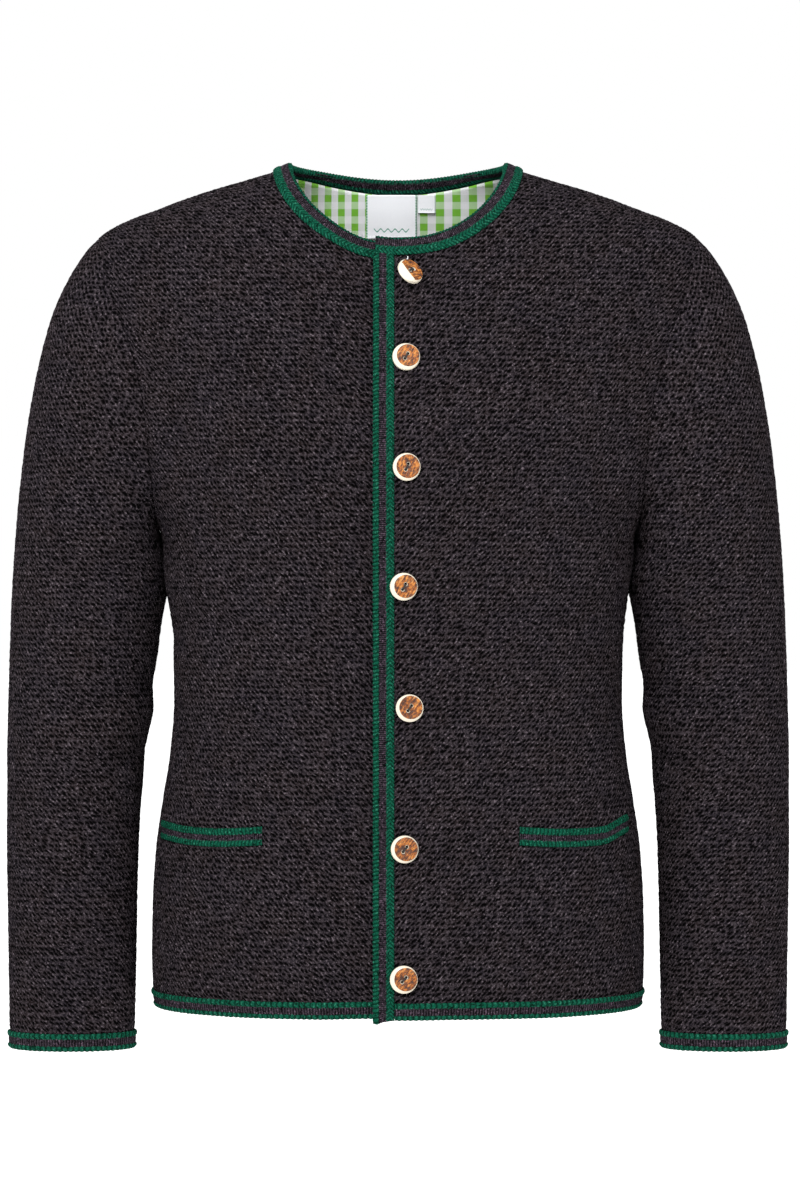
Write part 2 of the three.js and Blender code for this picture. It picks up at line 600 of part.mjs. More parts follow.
// The trim along the hem of a panel, from one of its columns on
function hemTrim(panel, start) {
  const columns = panel[0].map((_, column) => column).filter((column) => column > start);
  const lines = (column) => Array.from({ length: HEM_ROWS + 1 }, (_, row) => ({
    place: onPanel(panel, row, column, 0),
    out: panel[row][Math.round(column)].out,
  }));
  return swept([start, ...columns].map((column) => fromEdge(lines(column), HEM_TRIM.width)),
    trimOutline(HEM_TRIM, HEM_ROWS));
}
const besideFrontTrim = TRIM_COLUMNS + 0.03;
add("hem_trim_front_left", hemTrim(frontLeft, besideFrontTrim), "trim");
add("hem_trim_front_right", hemTrim(frontRight, 0), "trim");
add("hem_trim_back", hemTrim(back, 0), "trim");

// The trim round each cuff
function cuffTrim(panel) {
  const lines = Array.from({ length: CUFF_ROWS + 1 }, (_, i) => panel[panel.length - 1 - i]);
  return swept(panel[0].map((_, j) => fromEdge(lines.map((line) => line[j]), CUFF_TRIM.width)),
    trimOutline(CUFF_TRIM, CUFF_ROWS), true);
}
for (const [side, panel] of Object.entries(sleeves)) add(`cuff_trim_${side}`, cuffTrim(panel), "trim");

// A column of a front at this distance from the centre, in a given row
function columnAt(panel, row, x) {
  const along = panel[row].map(({ place }) => Math.abs(place.x));
  let j = 3;
  while (j < along.length - 2 && along[j + 1] < x) j += 1;
  return j + (x - along[j]) / (along[j + 1] - along[j]);
}

// A welt stands on the panel, from the row under the pocket to the row of its mouth
function pocketWelt(panel, { from, to }) {
  const row = HEM_ROWS + 1 + SIDE_LEVELS.indexOf(POCKET.bottomZ);
  const [start, end] = [columnAt(panel, row, from), columnAt(panel, row, to)];
  const columns = [start];
  for (let j = Math.ceil(start + 0.1); j < end - 0.1; j += 1) columns.push(j);
  columns.push(end);
  const [edge, crest, middle] = [SEAM + TRIM * 0.7, SEAM + TRIM + BEAD, SEAM + TRIM];
  const outline = [
    [0, SEAM], [0, edge], [0.13, crest], [0.28, crest], [0.4, middle],
    [0.6, middle], [0.72, crest], [0.87, crest], [1, edge], [1, SEAM],
  ];
  return swept(columns.map((column) => (up, h) => onPanel(panel, row + up, column, h)), outline);
}
add("pocket_welt_left", pocketWelt(frontLeft, POCKET.left), "trim");
add("pocket_welt_right", pocketWelt(frontRight, POCKET.right), "trim");

const circle = (x, radius, sides) => Array.from({ length: sides }, (_, k) => {
  const angle = (k / sides) * 2 * Math.PI;
  return new THREE.Vector2(x + radius * Math.cos(angle), radius * Math.sin(angle));
});

// A round button cut across a horn, bevelled, with two countersunk sewing holes
function buttonShape() {
  const shape = new THREE.Shape(circle(0, BUTTON.radius - BUTTON.bevel, BUTTON.sides));
  const { radius, spacing, sides } = BUTTON_HOLE;
  shape.holes = [-0.5, 0.5].map((side) =>
    new THREE.Path(circle(side * spacing, radius + BUTTON.bevel, sides)));
  const geometry = new THREE.ExtrudeGeometry(shape, {
    depth: BUTTON.thickness - 2 * BUTTON.bevel,
    bevelThickness: BUTTON.bevel,
    bevelSize: BUTTON.bevel,
    bevelSegments: 1,
  });
  return geometry.translate(0, 0, BUTTON.bevel);
}

// x and z are where its face is; it lies on the cloth by the lowest point of its edge
BUTTONS.forEach(({ x, z, turn, nod, sway, fall }, number) => {
  const button = add(`button_${number + 1}`, buttonShape(), "horn");
  const seat = SEAM + BUTTON.radius * Math.sin(radians(Math.hypot(nod, sway))) - fall;
  const height = LEFT_FRONT_RISE.rise + seat + BUTTON.thickness;
  const under = z - height * bodyPlace(x, z, -1, 1).out.z;
  const { place, out } = bodyPlace(x, under, -1, 1, LEFT_FRONT_RISE);
  button.position.copy(place.addScaledVector(out, seat));
  const upright = new THREE.Vector3(0, 0, 1);
  const across = new THREE.Vector3().crossVectors(upright, out).normalize();
  const faceOut = new THREE.Matrix4().makeBasis(across, out.clone().cross(across), out);
  button.quaternion.setFromRotationMatrix(faceOut);
  button.rotateX(radians(nod));
  button.rotateY(radians(sway));
  button.rotateZ(radians(turn));
});

// A flat piece along a panel: its outline is given as rows of [row, column], its two faces h and
// h + thickness above the cloth
function patch(panel, grid, h, thickness) {
  const face = (height) =>
    grid.map((line) => line.map(([row, column]) => onPanel(panel, row, column, height)));
  return wall(face(h + thickness), face(h));
}

// Inside the neck: the checked lining, a half moon that hangs from the neck trim's lip
const lipRow = TOP_ROW - (NECK_ROWS * (NECK_TRIM.lip + SEAM)) / NECK_TRIM.width;
const liningFace = -KNIT - LINING_GAP;
const LINING_ROWS = 4;
const halfMoon = Array.from({ length: LINING_ROWS + 1 }, (_, i) =>
  Array.from({ length: 2 * BACK_COLUMNS + 1 }, (_, column) => {
    const deep = Math.sin((column / (2 * BACK_COLUMNS)) * Math.PI) ** 0.8;
    const bottom = mix(HALF_MOON.endRow, HALF_MOON.middleRow, deep);
    return [mix(bottom, lipRow, i / LINING_ROWS), column];
  }));
add("back_lining", patch(back, halfMoon, liningFace - LINING, LINING), "lining");

// The column of the back that passes x, in a row that may lie between two
function backColumn(row, x) {
  const at = (column) => onPanel(back, row, column, 0).x;
  let [low, high] = [0, 2 * BACK_COLUMNS];
  for (let step = 0; step < 30; step += 1) {
    const middle = (low + high) / 2;
    if (at(middle) > x) low = middle;
    else high = middle;
  }
  return low;
}

// A woven label, sewn on by its top edge under the trim's lip, with straight sides
function neckLabel({ fromX, toX, drop }) {
  const top = lipRow - 0.08;
  const topZ = onPanel(back, top, BACK_COLUMNS, 0).z;
  let bottom = top;
  while (onPanel(back, bottom, BACK_COLUMNS, 0).z > topZ - drop) bottom -= 0.01;
  const rows = [bottom, mix(bottom, top, 1 / 3), mix(bottom, top, 2 / 3), top];
  const sides = rows.map((row) => [backColumn(row, toX), backColumn(row, fromX)]);
  const first = Math.ceil(Math.max(...sides.map(([start]) => start)) + 0.1);
  const last = Math.floor(Math.min(...sides.map(([, end]) => end)) - 0.1);
  const between = Array.from({ length: Math.max(0, last - first + 1) }, (_, k) => first + k);
  const grid = rows.map((row, i) => [sides[i][0], ...between, sides[i][1]].map((column) => [row, column]));
  return patch(back, grid, liningFace - LINING - SEAM - LABEL, LABEL);
}
add("neck_label", neckLabel(NECK_LABEL), "label");
add("size_label", neckLabel(SIZE_LABEL), "label");

export default group;
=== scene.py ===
"""A knitted jacket, filled out as it is worn, with nobody in it.

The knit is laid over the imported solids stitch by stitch, the folded trim rib by rib.
All sizes of the cloth are in millimetres and become metres when a mesh is made.
"""

import math
from functools import partialmethod

import bpy
import numpy as np
from mathutils import Matrix, Vector


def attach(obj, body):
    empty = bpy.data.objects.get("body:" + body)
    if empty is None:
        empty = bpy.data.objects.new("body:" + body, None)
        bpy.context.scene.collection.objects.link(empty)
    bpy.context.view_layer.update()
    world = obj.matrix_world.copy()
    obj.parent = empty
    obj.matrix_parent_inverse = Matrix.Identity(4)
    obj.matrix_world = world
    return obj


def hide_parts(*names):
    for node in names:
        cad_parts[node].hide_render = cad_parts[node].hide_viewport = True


bl_info = {
    "name": "Knitted Jacket",
    "version": (1, 0, 0),
    "blender": (4, 5, 0),
    "location": "3D View > Sidebar > Jacket",
    "description": "Knit, trim, lining, labels and buttons of a jacket over its packed solids",
    "category": "Object",
}

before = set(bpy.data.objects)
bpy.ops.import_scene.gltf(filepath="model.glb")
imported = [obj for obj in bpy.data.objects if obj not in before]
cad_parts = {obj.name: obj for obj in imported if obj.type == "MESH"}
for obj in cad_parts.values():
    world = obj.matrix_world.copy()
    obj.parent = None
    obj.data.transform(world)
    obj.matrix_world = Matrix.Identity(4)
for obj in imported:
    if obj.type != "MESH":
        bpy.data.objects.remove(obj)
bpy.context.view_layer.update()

MM = 0.001
KNIT = 2.4  # wall of the knitted panels
SEAM = 0.3
TRIM = 1.2  # wall of the folded trim
FOLD_GAP = 0.55  # between the trim and the cloth that it is folded over
LINING = 1.0
LINING_GAP = 0.9
LABEL = 0.6

HEM_Z = -677.4
UNDERARM_Z = -300.0
SHOULDER_TIP_Z = -58.5
TOP_Z = 0.4
CUFF_Z = -708.0
STRAIGHT_Z = -130.0  # above it the rows of stitches follow the cloth over the shoulder
MIDDLE_SHARE = 0.92  # how far out of the body's depth the height of the rows is measured
WIDEST_ROW = 241.5
# In what follows -1 is the front and 1 the back, or 1 the wearer's left and -1 the right
NECK_HALF_WIDTH = 87.4
NECK_BOTTOM = {-1: -68.4, 1: -7.0}
NECK_CURVE = {-1: 1.2, 1: 4.0}
OVERLAP = 17.8
FRONT_TRIM_WIDTH = 14.8
ROUNDNESS = 2.3
LEFT_RISE = {"rise": 2.6, "full": 4.0, "gone": 46.0}
RIGHT_RISE = {"rise": -5.7, "full": 24.0, "gone": 64.0}
NO_RISE = {"rise": 0.0, "full": 1.0, "gone": 2.0}


def table(columns, rows):
    """Rows of numbers as one array for each named column."""
    return dict(zip(columns.split(), np.array(rows, float).T))


BODY = table("z half_width front back", [
    (-677.4, 195, 127, 117), (-662, 197.6, 128, 118), (-636, 198.4, 127, 117),
    (-595, 197.8, 124, 115), (-555, 195.4, 121, 112), (-514, 189.8, 118, 108),
    (-474, 183.6, 116, 104), (-433, 180.6, 116, 102), (-393, 181.2, 118, 106),
    (-352, 185.4, 122, 112), (-300, 191, 126, 120), (-285, 197.5, 127, 122),
    (-260, 208, 127, 125), (-231, 218, 125, 127), (-200, 227, 120, 127),
    (-150, 242, 108, 121), (-130, 248, 102, 115.5), (-110, 252.5, 95, 109),
    (-95, 253.8, 89.5, 103.5), (-78, 251.8, 82, 96), (-67, 247.4, 76.5, 91),
    (-58.5, 240.5, 72.5, 87.5), (-52.4, 231.8, 69.5, 84.5), (-45.2, 217, 65.5, 81),
    (-37.4, 196, 61.5, 77), (-29.4, 175, 57.5, 73), (-21, 150, 53, 69),
    (-12.6, 121, 48, 65), (-7.4, 104, 45.5, 62.5), (-3, 95, 43.5, 61), (0.4, 87, 42, 60),
])
ARMHOLE = table("z front back", [
    (-300, 191, 191), (-290, 193.5, 194.6), (-272, 195.5, 199.5), (-245, 197.5, 205.5),
    (-200, 202.5, 213), (-157, 212, 220.5), (-122, 223.5, 228), (-95, 232.5, 234),
    (-74, 238.2, 238.6), (-58.5, 240.5, 240.5),
])
SLEEVE = table("ring outer_x outer_z inner_x inner_z depth back armhole", [
    (0, 240.5, -58.5, 191, -300, 57, 0, 1), (1, 251, -69.5, 190.8, -301.5, 59, 0, 0.85),
    (2, 264.6, -90, 190.3, -305, 61, 0, 0.65), (3, 278, -118, 189.6, -309.5, 63, 1, 0.45),
    (4, 288.4, -153, 188.7, -315, 64.5, 2, 0.28), (5, 296.6, -192, 187.8, -321.5, 65.5, 3, 0.14),
    (6, 303.4, -238, 186.8, -330, 65.5, 4, 0.05), (7, 309.3, -296, 187.4, -343, 64, 5, 0),
    (8, 312.9, -352, 192, -368, 61, 6, 0), (9, 315.2, -416, 198.4, -420, 58, 7, 0),
    (10, 316.6, -482, 206, -483, 55, 7, 0), (11, 316.6, -542, 210.4, -540, 51, 5, 0),
    (12, 315.4, -602, 211.8, -599, 46, 0, 0), (13, 314, -655, 212.2, -652, 41, -7, 0),
    (14, 312.6, -697, 212.6, -694.5, 37, -14, 0), (15, 312, -704, 213, -701.5, 36, -15, 0),
    (16, 311.6, -711, 213.2, -708.5, 35.4, -16, 0),
])
SLEEVE_CLEARANCE = {"least": 0.2, "most": 1.5, "over": 70.0}
BODY_FOLDS = table("face x z along across tilt rise", [
    (-1, 150, -328, 62, 15, 14, 2.6), (-1, 160, -362, 54, 13, 8, -2.2),
    (-1, -152, -340, 60, 15, -12, 2.4), (-1, -160, -374, 52, 14, -6, -2.2),
    (-1, 178, -206, 74, 16, 72, -3.2), (-1, -176, -212, 70, 17, -70, -3.4),
    (-1, 128, -610, 80, 24, 84, 2.2), (-1, -120, -604, 76, 26, -80, 2.4),
    (1, 60, -372, 84, 16, 10, 2.8), (1, -52, -398, 90, 17, -8, -2.6),
    (1, 120, -430, 66, 15, 14, -2.4), (1, -128, -352, 62, 15, -16, 2.4),
    (1, 176, -214, 78, 17, 74, -3.4), (1, -178, -208, 74, 17, -74, -3.2),
])
SLEEVE_FOLDS = table("z round along across slant rise", [
    (-428, 128, 62, 13, 0.18, -3), (-458, 118, 58, 12, 0.26, 2.2),
    (-486, 132, 54, 12, 0.2, -2.6), (-452, 226, 60, 14, -0.2, 2.4),
    (-330, 112, 48, 13, 0.5, -2.4), (-322, 248, 50, 14, -0.5, -2.4),
    (-640, 96, 44, 14, 0.12, -1.8), (-620, 262, 46, 15, -0.14, 1.8),
])
POCKETS = {1: (95.0, 187.0), -1: (106.0, 189.0)}
POCKET = {"bottom_z": -544.0, "mouth_z": -517.0, "dip": 3.4, "half_height": 7.0, "fade": 12.0}

# The knit's relief, as shares of the height of a stitch, and its plain inside
HOLE_LEVEL = -0.9
STRAND_LEVELS = (0.2, 0.8)
FLAT_SINK = 0.25  # how deep the knit lies under a trim or a seam
INSIDE_ROWS = 6  # one row of the inside for so many rows of points outside
INSIDE_STEP = 12.0

# Trims, the seams they lie on, and the pieces inside the neck
NECK_BAND = 12.9
NECK_LIP = 9.4
HEM_BAND = 11.9
HEM_LIP = 10.0
CUFF_BAND = 12.3
FRONT_LIP = 10.6
TRIM_TOP = FOLD_GAP + TRIM
TRIM_CREST = TRIM_TOP + 0.7
TRIM_UNDER = -KNIT - FOLD_GAP
WELT_HEIGHT = 14.4
WELT_SAG = 2.4
WELT_ENDS = {1: {"short": 4.5, "curl": 7.0}, -1: {"short": 0.5, "curl": 1.2}}
CHECK_COLUMNS = table("x number", [
    (-150, -13.2), (-69.5, -6), (-36, -3), (21.1, 2), (62.5, 5), (150, 11.5),
])
CHECK_ROW = {"z": -18.2, "height": 11.4}
LINING_REACH = 150.7
LINING_EDGE = {"middle_z": -100.5, "end_z": -21.5, "power": 2.6}
LABEL_TOP = -15.5

# Buttons: where each lies, how it turns and tilts, and how its bark lies in its rim
BUTTON_RADIUS = 10.8
BUTTON_THICKNESS = 4.4
BUTTON_DOME = 1.7
HOLE_RADIUS = 1.2
HOLE_SPACING = 4.7
BUTTONS = table("x z turn nod sway fall rim_way rim_off rim_size facet", [
    (8.6, -93, 40, -18, 34, 1.0, 225, 0.4, 0.92, 4.8), (6.2, -161.4, 62, 1, 6.5, 0, 204, 1.5, 0.83, 0),
    (6.6, -248.4, 66, 1, 6, 0, 200, 1.1, 0.86, 0), (4.3, -341.9, 60, -1, 7, 0, 195, 1.4, 0.84, 0),
    (9, -436.4, 56, -1, 2, 0, 214, 1.2, 0.85, 0), (5, -545.9, 52, 1, 6.5, 0, 188, 1.1, 0.86, 0),
    (4.3, -646.7, 48, -1, 7, 0, 186, 1.4, 0.84, 0),
])
LOOSE_THREAD = {"x": 7.4, "z": -88.6, "out": 5.0, "radius": 0.4,
                "path": [(0, 0, 0), (-0.5, 0.2, 1.5), (0.4, 0.3, 2.4), (0.2, 0.1, 4.0)]}

CAMERA = {"lens": 118.5, "place": (0.0016, -3.2, -0.352)}
LIGHTS = {"key": ((-0.6, -2.0, 1.6), (0, 0, -0.25), 86), "fill": ((1.7, -2.6, 0.5), (0, 0, -0.35), 18)}
LIGHT_SIZE = 1.2
FLOOR_LEVEL = -0.95


def clamp01(u):
    return np.clip(u, 0, 1)


def smooth(u):
    return clamp01(u) ** 2 * (3 - 2 * clamp01(u))


def mix(a, b, u):
    return a + (b - a) * u


def unit(vectors):
    return vectors / np.linalg.norm(vectors, axis=-1, keepdims=True)


def run_of(places):
    """Length walked along the last but one axis of an array of points."""
    steps = np.linalg.norm(np.diff(places, axis=-2), axis=-1)
    return np.concatenate([np.zeros(steps.shape[:-1] + (1,)), np.cumsum(steps, axis=-1)], axis=-1)


def at_run(run, places, goals):
    """Points at the walked lengths in goals."""
    return np.stack([np.interp(goals, run, places[:, k]) for k in range(3)], axis=-1)


def curve_through(rows, along, key):
    """A smooth curve through one column of a table that keeps its rises and falls."""
    x, y = rows[along], rows[key]
    slope = np.diff(y) / np.diff(x)
    before, after = slope[:-1], slope[1:]
    same = before * after > 0
    inner = np.where(same, 2 * before * after / np.where(same, before + after, 1), 0)
    tangent = np.concatenate([slope[:1], inner, slope[-1:]])

    def at(where):
        """The column's value, and straight on past the table's ends."""
        where = np.asarray(where, float)
        i = np.clip(np.searchsorted(x, where) - 1, 0, len(x) - 2)
        span = x[i + 1] - x[i]
        u = (where - x[i]) / span
        v = clamp01(u)
        stay = y[i] * (1 + 2 * v) * (1 - v) ** 2 + y[i + 1] * v * v * (3 - 2 * v)
        turn = span * (tangent[i] * v * (1 - v) ** 2 - tangent[i + 1] * v * v * (1 - v))
        beyond = tangent[i] * np.minimum(u, 0) + tangent[i + 1] * np.maximum(u - 1, 0)
        return stay + turn + span * beyond

    return at


half_width = curve_through(BODY, "z", "half_width")
body_depth = {-1: curve_through(BODY, "z", "front"), 1: curve_through(BODY, "z", "back")}
armhole_x = {-1: curve_through(ARMHOLE, "z", "front"), 1: curve_through(ARMHOLE, "z", "back")}
ridge_levels = np.linspace(TOP_Z, -95, 600)
ridge_widths = half_width(ridge_levels)


def ridge_z(x):
    """The level at which the shoulder's ridge is this far from the middle."""
    return np.interp(x, ridge_widths, ridge_levels)


def bumps(folds, along, across):
    """Soft mounds and hollows that fade over their half length and half width."""
    fade = (along / folds["along"]) ** 2 + (across / folds["across"]) ** 2
    return np.sum(folds["rise"] * np.exp(-fade), axis=-1)


def body_fold(x, z, face):
    """How far the cloth stands out of the body at its folds and pocket mouths."""
    folds = {key: column[BODY_FOLDS["face"] == face] for key, column in BODY_FOLDS.items()}
    tilt = np.radians(folds["tilt"])
    dx, dz = x[..., None] - folds["x"], z[..., None] - folds["z"]
    rise = bumps(folds, dx * np.cos(tilt) + dz * np.sin(tilt), dz * np.cos(tilt) - dx * np.sin(tilt))
    if face < 0:
        mouth = (z - POCKET["mouth_z"]) / POCKET["half_height"]
        for side, (start, end) in POCKETS.items():
            along = smooth((x * side - start) / POCKET["fade"]) * smooth((end - x * side) / POCKET["fade"])
            rise -= POCKET["dip"] * along * np.exp(-(mouth ** 2))
    return rise


def body_place(x, z, face, mirror=1, rise=NO_RISE):
    """Places on the body's cloth and the way out of it. x runs from the centre line to the wearer's
    left, and mirror -1 turns it over to the right."""
    x, z = np.broadcast_arrays(np.asarray(x, float), np.asarray(z, float))
    a, b = half_width(z), body_depth[face](z)
    step = 0.5
    widening = (half_width(z + step) - half_width(z - step)) / (2 * step)
    deepening = (body_depth[face](z + step) - body_depth[face](z - step)) / (2 * step)
    side = np.minimum(1, np.abs(x) / a)
    depth = (1 - side ** ROUNDNESS) ** (1 / ROUNDNESS)
    out = unit(np.stack([
        mirror * np.sign(x) * side ** (ROUNDNESS - 1) / a,
        face * depth ** (ROUNDNESS - 1) / b,
        -(side ** ROUNDNESS) * widening / a - depth ** ROUNDNESS * deepening / b,
    ], axis=-1))
    parted = rise["rise"] * smooth((rise["gone"] - x) / (rise["gone"] - rise["full"]))
    parted = parted + body_fold(mirror * x, z, face)
    place = np.stack([mirror * x, face * b * depth, z], axis=-1) + out * parted[..., None]
    return place, out


def neck_line(turn, r, face):
    """The neckline and the lines parallel to it; turn is 0 at the centre and 1 at the shoulder."""
    reach = NECK_HALF_WIDTH + r
    top = ridge_z(reach)
    bottom = NECK_BOTTOM[face] - r
    cos = np.maximum(0, np.cos(turn * math.pi / 2))
    return reach * np.sin(turn * math.pi / 2), top - (top - bottom) * cos ** NECK_CURVE[face]


def neck_z(x, r, face):
    """The level of the line r below the neckline, x from the middle."""
    turn = np.arcsin(clamp01(np.abs(x) / (NECK_HALF_WIDTH + r))) * 2 / math.pi
    return neck_line(turn, r, face)[1]


# The knit's rows: each is a fine line of places on the cloth, and the distances along and up it


def first_crossing(x, inside):
    """Where a signed line first falls below 0, and None where it never does."""
    below = np.flatnonzero(inside < 0)
    if not len(below) or below[0] == 0:
        return None
    k = below[0]
    share = inside[k - 1] / (inside[k - 1] - inside[k])
    return mix(x[k - 1], x[k], share)


def panel_rows(face, start, mirror, rise, spacing):
    """The rows of half a body panel, from the hem to the neck, as lines of x, z and their run."""
    levels = np.linspace(HEM_Z, STRAIGHT_Z, 1200)
    middle = np.stack([body_depth[face](levels) * MIDDLE_SHARE, levels, levels * 0], axis=-1)
    middle_run = run_of(middle)
    columns = np.linspace(start, WIDEST_ROW, 300)
    tops = ridge_z(np.abs(columns))
    share = np.linspace(0, 1, 240)
    climb = tops[:, None] - (tops[:, None] - STRAIGHT_Z) * (1 - share) ** ROUNDNESS
    side = clamp01(np.abs(columns)[:, None] / half_width(climb))
    inwards = body_depth[face](climb) * (1 - side ** ROUNDNESS) ** (1 / ROUNDNESS)
    column_run = run_of(np.stack([inwards, climb, climb * 0], axis=-1))
    rows = []
    samples = np.linspace(0, 1, 320)
    straight_end = middle_run[-1]
    while True:
        v = len(rows) * spacing
        if v <= straight_end:
            z = np.interp(v, middle_run, levels)
            end = half_width(z) if z <= UNDERARM_Z else min(armhole_x[face](z), half_width(z))
            x = start + (end - start) * np.sin(samples * math.pi / 2) ** (2 / ROUNDNESS)
            line = (x, np.full_like(x, z))
        else:
            line = upper_row(v - straight_end, face, columns, column_run, climb, samples)
            if line is None:
                break
        place, out = body_place(*line, face, mirror, rise)
        rows.append({"v": v, "x": line[0], "place": place, "out": out, "closed": False})
    for row in rows:
        run = run_of(row["place"])
        row["run"] = run - np.interp(0.0, row["x"], run)
    top_of_straight = [row for row in rows if row["v"] <= straight_end][-1]
    anchor = 100.0  # here the stitches over the shoulder keep in line with those below
    at_anchor = np.interp(anchor, top_of_straight["x"], top_of_straight["run"])
    for row in rows:
        if row["v"] > straight_end:
            row["run"] += at_anchor - np.interp(anchor, row["x"], row["run"])
    return rows


def upper_row(climbed, face, columns, column_run, climb, samples):
    """A row over the shoulder, cut off by the neckline, the armhole and the shoulder seam."""
    z = np.array([np.interp(climbed, run, levels) for run, levels in zip(column_run, climb)])
    under_neck = np.where(columns < NECK_HALF_WIDTH, neck_z(columns, 0, face) - z, 1.0)
    below_ridge = column_run[:, -1] - climbed
    in_armhole = np.where(z < SHOULDER_TIP_Z, armhole_x[face](z) - columns, 1.0)
    inside = np.minimum(below_ridge, in_armhole)
    start = columns[0]
    if under_neck[0] < 0:
        k = np.flatnonzero(under_neck >= 0)[0]
        share = -under_neck[k - 1] / (under_neck[k] - under_neck[k - 1])
        start = mix(columns[k - 1], columns[k], share)
    reached = columns > start
    if not np.any(inside[reached] > 0):
        return None
    end = first_crossing(columns[reached], inside[reached])
    if end is None or end - start < 2.0:
        return None
    valid = reached & (columns < end) & (inside > 0)
    if valid.sum() < 2:
        return None
    end_z = ridge_z(end)
    at_armhole = end_z > SHOULDER_TIP_Z and in_armhole[valid][-1] < 3
    if at_armhole or abs(below_ridge[valid][-1]) > 4:
        end_z = z[valid][-1]
    known_x = np.concatenate([[start], columns[valid], [end]])
    known_z = np.concatenate([[np.interp(start, columns, z)], z[valid], [end_z]])
    x = end - (end - start) * (1 - samples) ** 2
    return x, np.interp(x, known_x, known_z)


sleeve_curves = {key: curve_through(SLEEVE, "ring", key) for key in SLEEVE if key != "ring"}


def sleeve_place(z, share, face):
    """Places on the left sleeve, at a level and a share of the way from its inner to its outer edge."""
    column = sleeve_curves
    w = (1 - np.cos(share * math.pi)) / 2
    low, high = np.zeros_like(z), np.full_like(z, SLEEVE["ring"][-1])
    for _ in range(34):
        ring = (low + high) / 2
        above = mix(column["inner_z"](ring), column["outer_z"](ring), w) > z
        low, high = np.where(above, ring, low), np.where(above, high, ring)
    ring = (low + high) / 2
    sin = np.sin(share * math.pi)
    x = mix(column["inner_x"](ring), column["outer_x"](ring), w)
    y = column["back"](ring) + face * column["depth"](ring) * sin
    top_z = mix(UNDERARM_Z, SHOULDER_TIP_Z, w)
    for side in (-1, 1):
        top_x = np.minimum(armhole_x[side](top_z), half_width(top_z))
        edge = body_place(top_x, top_z, side)[0]
        first = np.stack([mix(SLEEVE["inner_x"][0], SLEEVE["outer_x"][0], w),
                          side * SLEEVE["depth"][0] * sin], axis=-1)
        part = np.where(face == side, clamp01(column["armhole"](ring)), 0)
        x = x + part * (edge[..., 0] - first[..., 0])
        y = y + part * (edge[..., 1] - first[..., 1])
    reach = clamp01(np.abs(y) / np.where(face < 0, body_depth[-1](z), body_depth[1](z)))
    body_side = half_width(z) * (1 - reach ** ROUNDNESS) ** (1 / ROUNDNESS)
    clear = mix(SLEEVE_CLEARANCE["least"], SLEEVE_CLEARANCE["most"],
                smooth((UNDERARM_Z - 15 - z) / SLEEVE_CLEARANCE["over"]))
    x = np.where((z < UNDERARM_Z) & (ring > 0.5), np.maximum(x, body_side + clear), x)
    return np.stack([x, y, z], axis=-1)


def sleeve_rows(mirror, spacing):
    """The rows of a sleeve from the cuff to the shoulder: round the arm from the inside of the arm,
    past the front and the outer edge to the back."""
    levels = np.linspace(CUFF_Z, SHOULDER_TIP_Z, 1500)
    outer = sleeve_place(levels, np.ones_like(levels), np.full_like(levels, -1.0))
    climbed = run_of(outer)
    v = np.arange(int(climbed[-1] / spacing)) * spacing
    close_up = np.array([0.55, 0.25, 0.08, 0.005])  # the last rows draw together at the shoulder tip
    v = np.append(v, climbed[-1] - (climbed[-1] - v[-1]) * close_up)
    z = np.interp(v, climbed, levels)
    w = clamp01((z - UNDERARM_Z) / (SHOULDER_TIP_Z - UNDERARM_Z))
    reach = 1 - np.arccos(1 - 2 * w) / math.pi
    turns = np.linspace(-1, 1, 361)[None, :] * reach[:, None]
    face = np.where(turns < 0, -1.0, 1.0)
    level = np.broadcast_to(z[:, None], turns.shape)
    place = sleeve_place(level, 1 - np.abs(turns), face)
    round_arm = np.gradient(place, axis=1)
    closed = z <= UNDERARM_Z
    joined = (place[closed, 1] - place[closed, -2]) / 2
    round_arm[closed, 0] = joined
    round_arm[closed, -1] = joined
    up = np.gradient(place, axis=0)
    out = unit(np.cross(round_arm, up))
    angle = np.where(turns < 0, -turns / 2, 1 - turns / 2) * 360
    away = (angle[..., None] - SLEEVE_FOLDS["round"] + 540) % 360 - 180
    fold = bumps(SLEEVE_FOLDS, away, level[..., None] - SLEEVE_FOLDS["z"] - SLEEVE_FOLDS["slant"] * away)
    place = place + out * fold[..., None]
    place[..., 0] *= mirror
    out[..., 0] *= mirror
    rows = []
    for k in range(len(v)):
        run = run_of(place[k])
        rows.append({"v": v[k], "place": place[k], "out": out[k], "run": run - run[len(run) // 2],
                     "closed": bool(closed[k])})
    return rows


# Meshes


def make_object(name, points, faces, uv):
    """An object at the origin whose mesh holds the points, given in millimetres."""
    mesh = bpy.data.meshes.new(name)
    mesh.from_pydata((np.asarray(points) * MM).tolist(), [], faces)
    layer = mesh.uv_layers.new(name="cloth")
    corner = np.empty(len(mesh.loops), np.int32)
    mesh.loops.foreach_get("vertex_index", corner)
    layer.data.foreach_set("uv", np.asarray(uv, np.float32)[corner].ravel())
    mesh.polygons.foreach_set("use_smooth", [True] * len(mesh.polygons))
    mesh.update()
    obj = bpy.data.objects.new(name, mesh)
    bpy.context.scene.collection.objects.link(obj)
    return obj


def select(*objects):
    """Selects these objects alone, with the first one active."""
    bpy.ops.object.select_all(action="DESELECT")
    for obj in objects:
        obj.select_set(True)
    bpy.context.view_layer.objects.active = objects[0]


def on_whole_mesh(obj, change):
    """Runs an operator of edit mode on the whole of one mesh."""
    select(obj)
    bpy.ops.object.mode_set(mode="EDIT")
    bpy.ops.mesh.select_all(action="SELECT")
    change()
    bpy.ops.object.mode_set(mode="OBJECT")


def weld(obj):
    """Merges the points that meet."""
    on_whole_mesh(obj, lambda: bpy.ops.mesh.remove_doubles(threshold=1e-5))


def face_out(obj):
    """Recalculates the normals of a closed piece to point outwards."""
    on_whole_mesh(obj, lambda: bpy.ops.mesh.normals_make_consistent(inside=False))


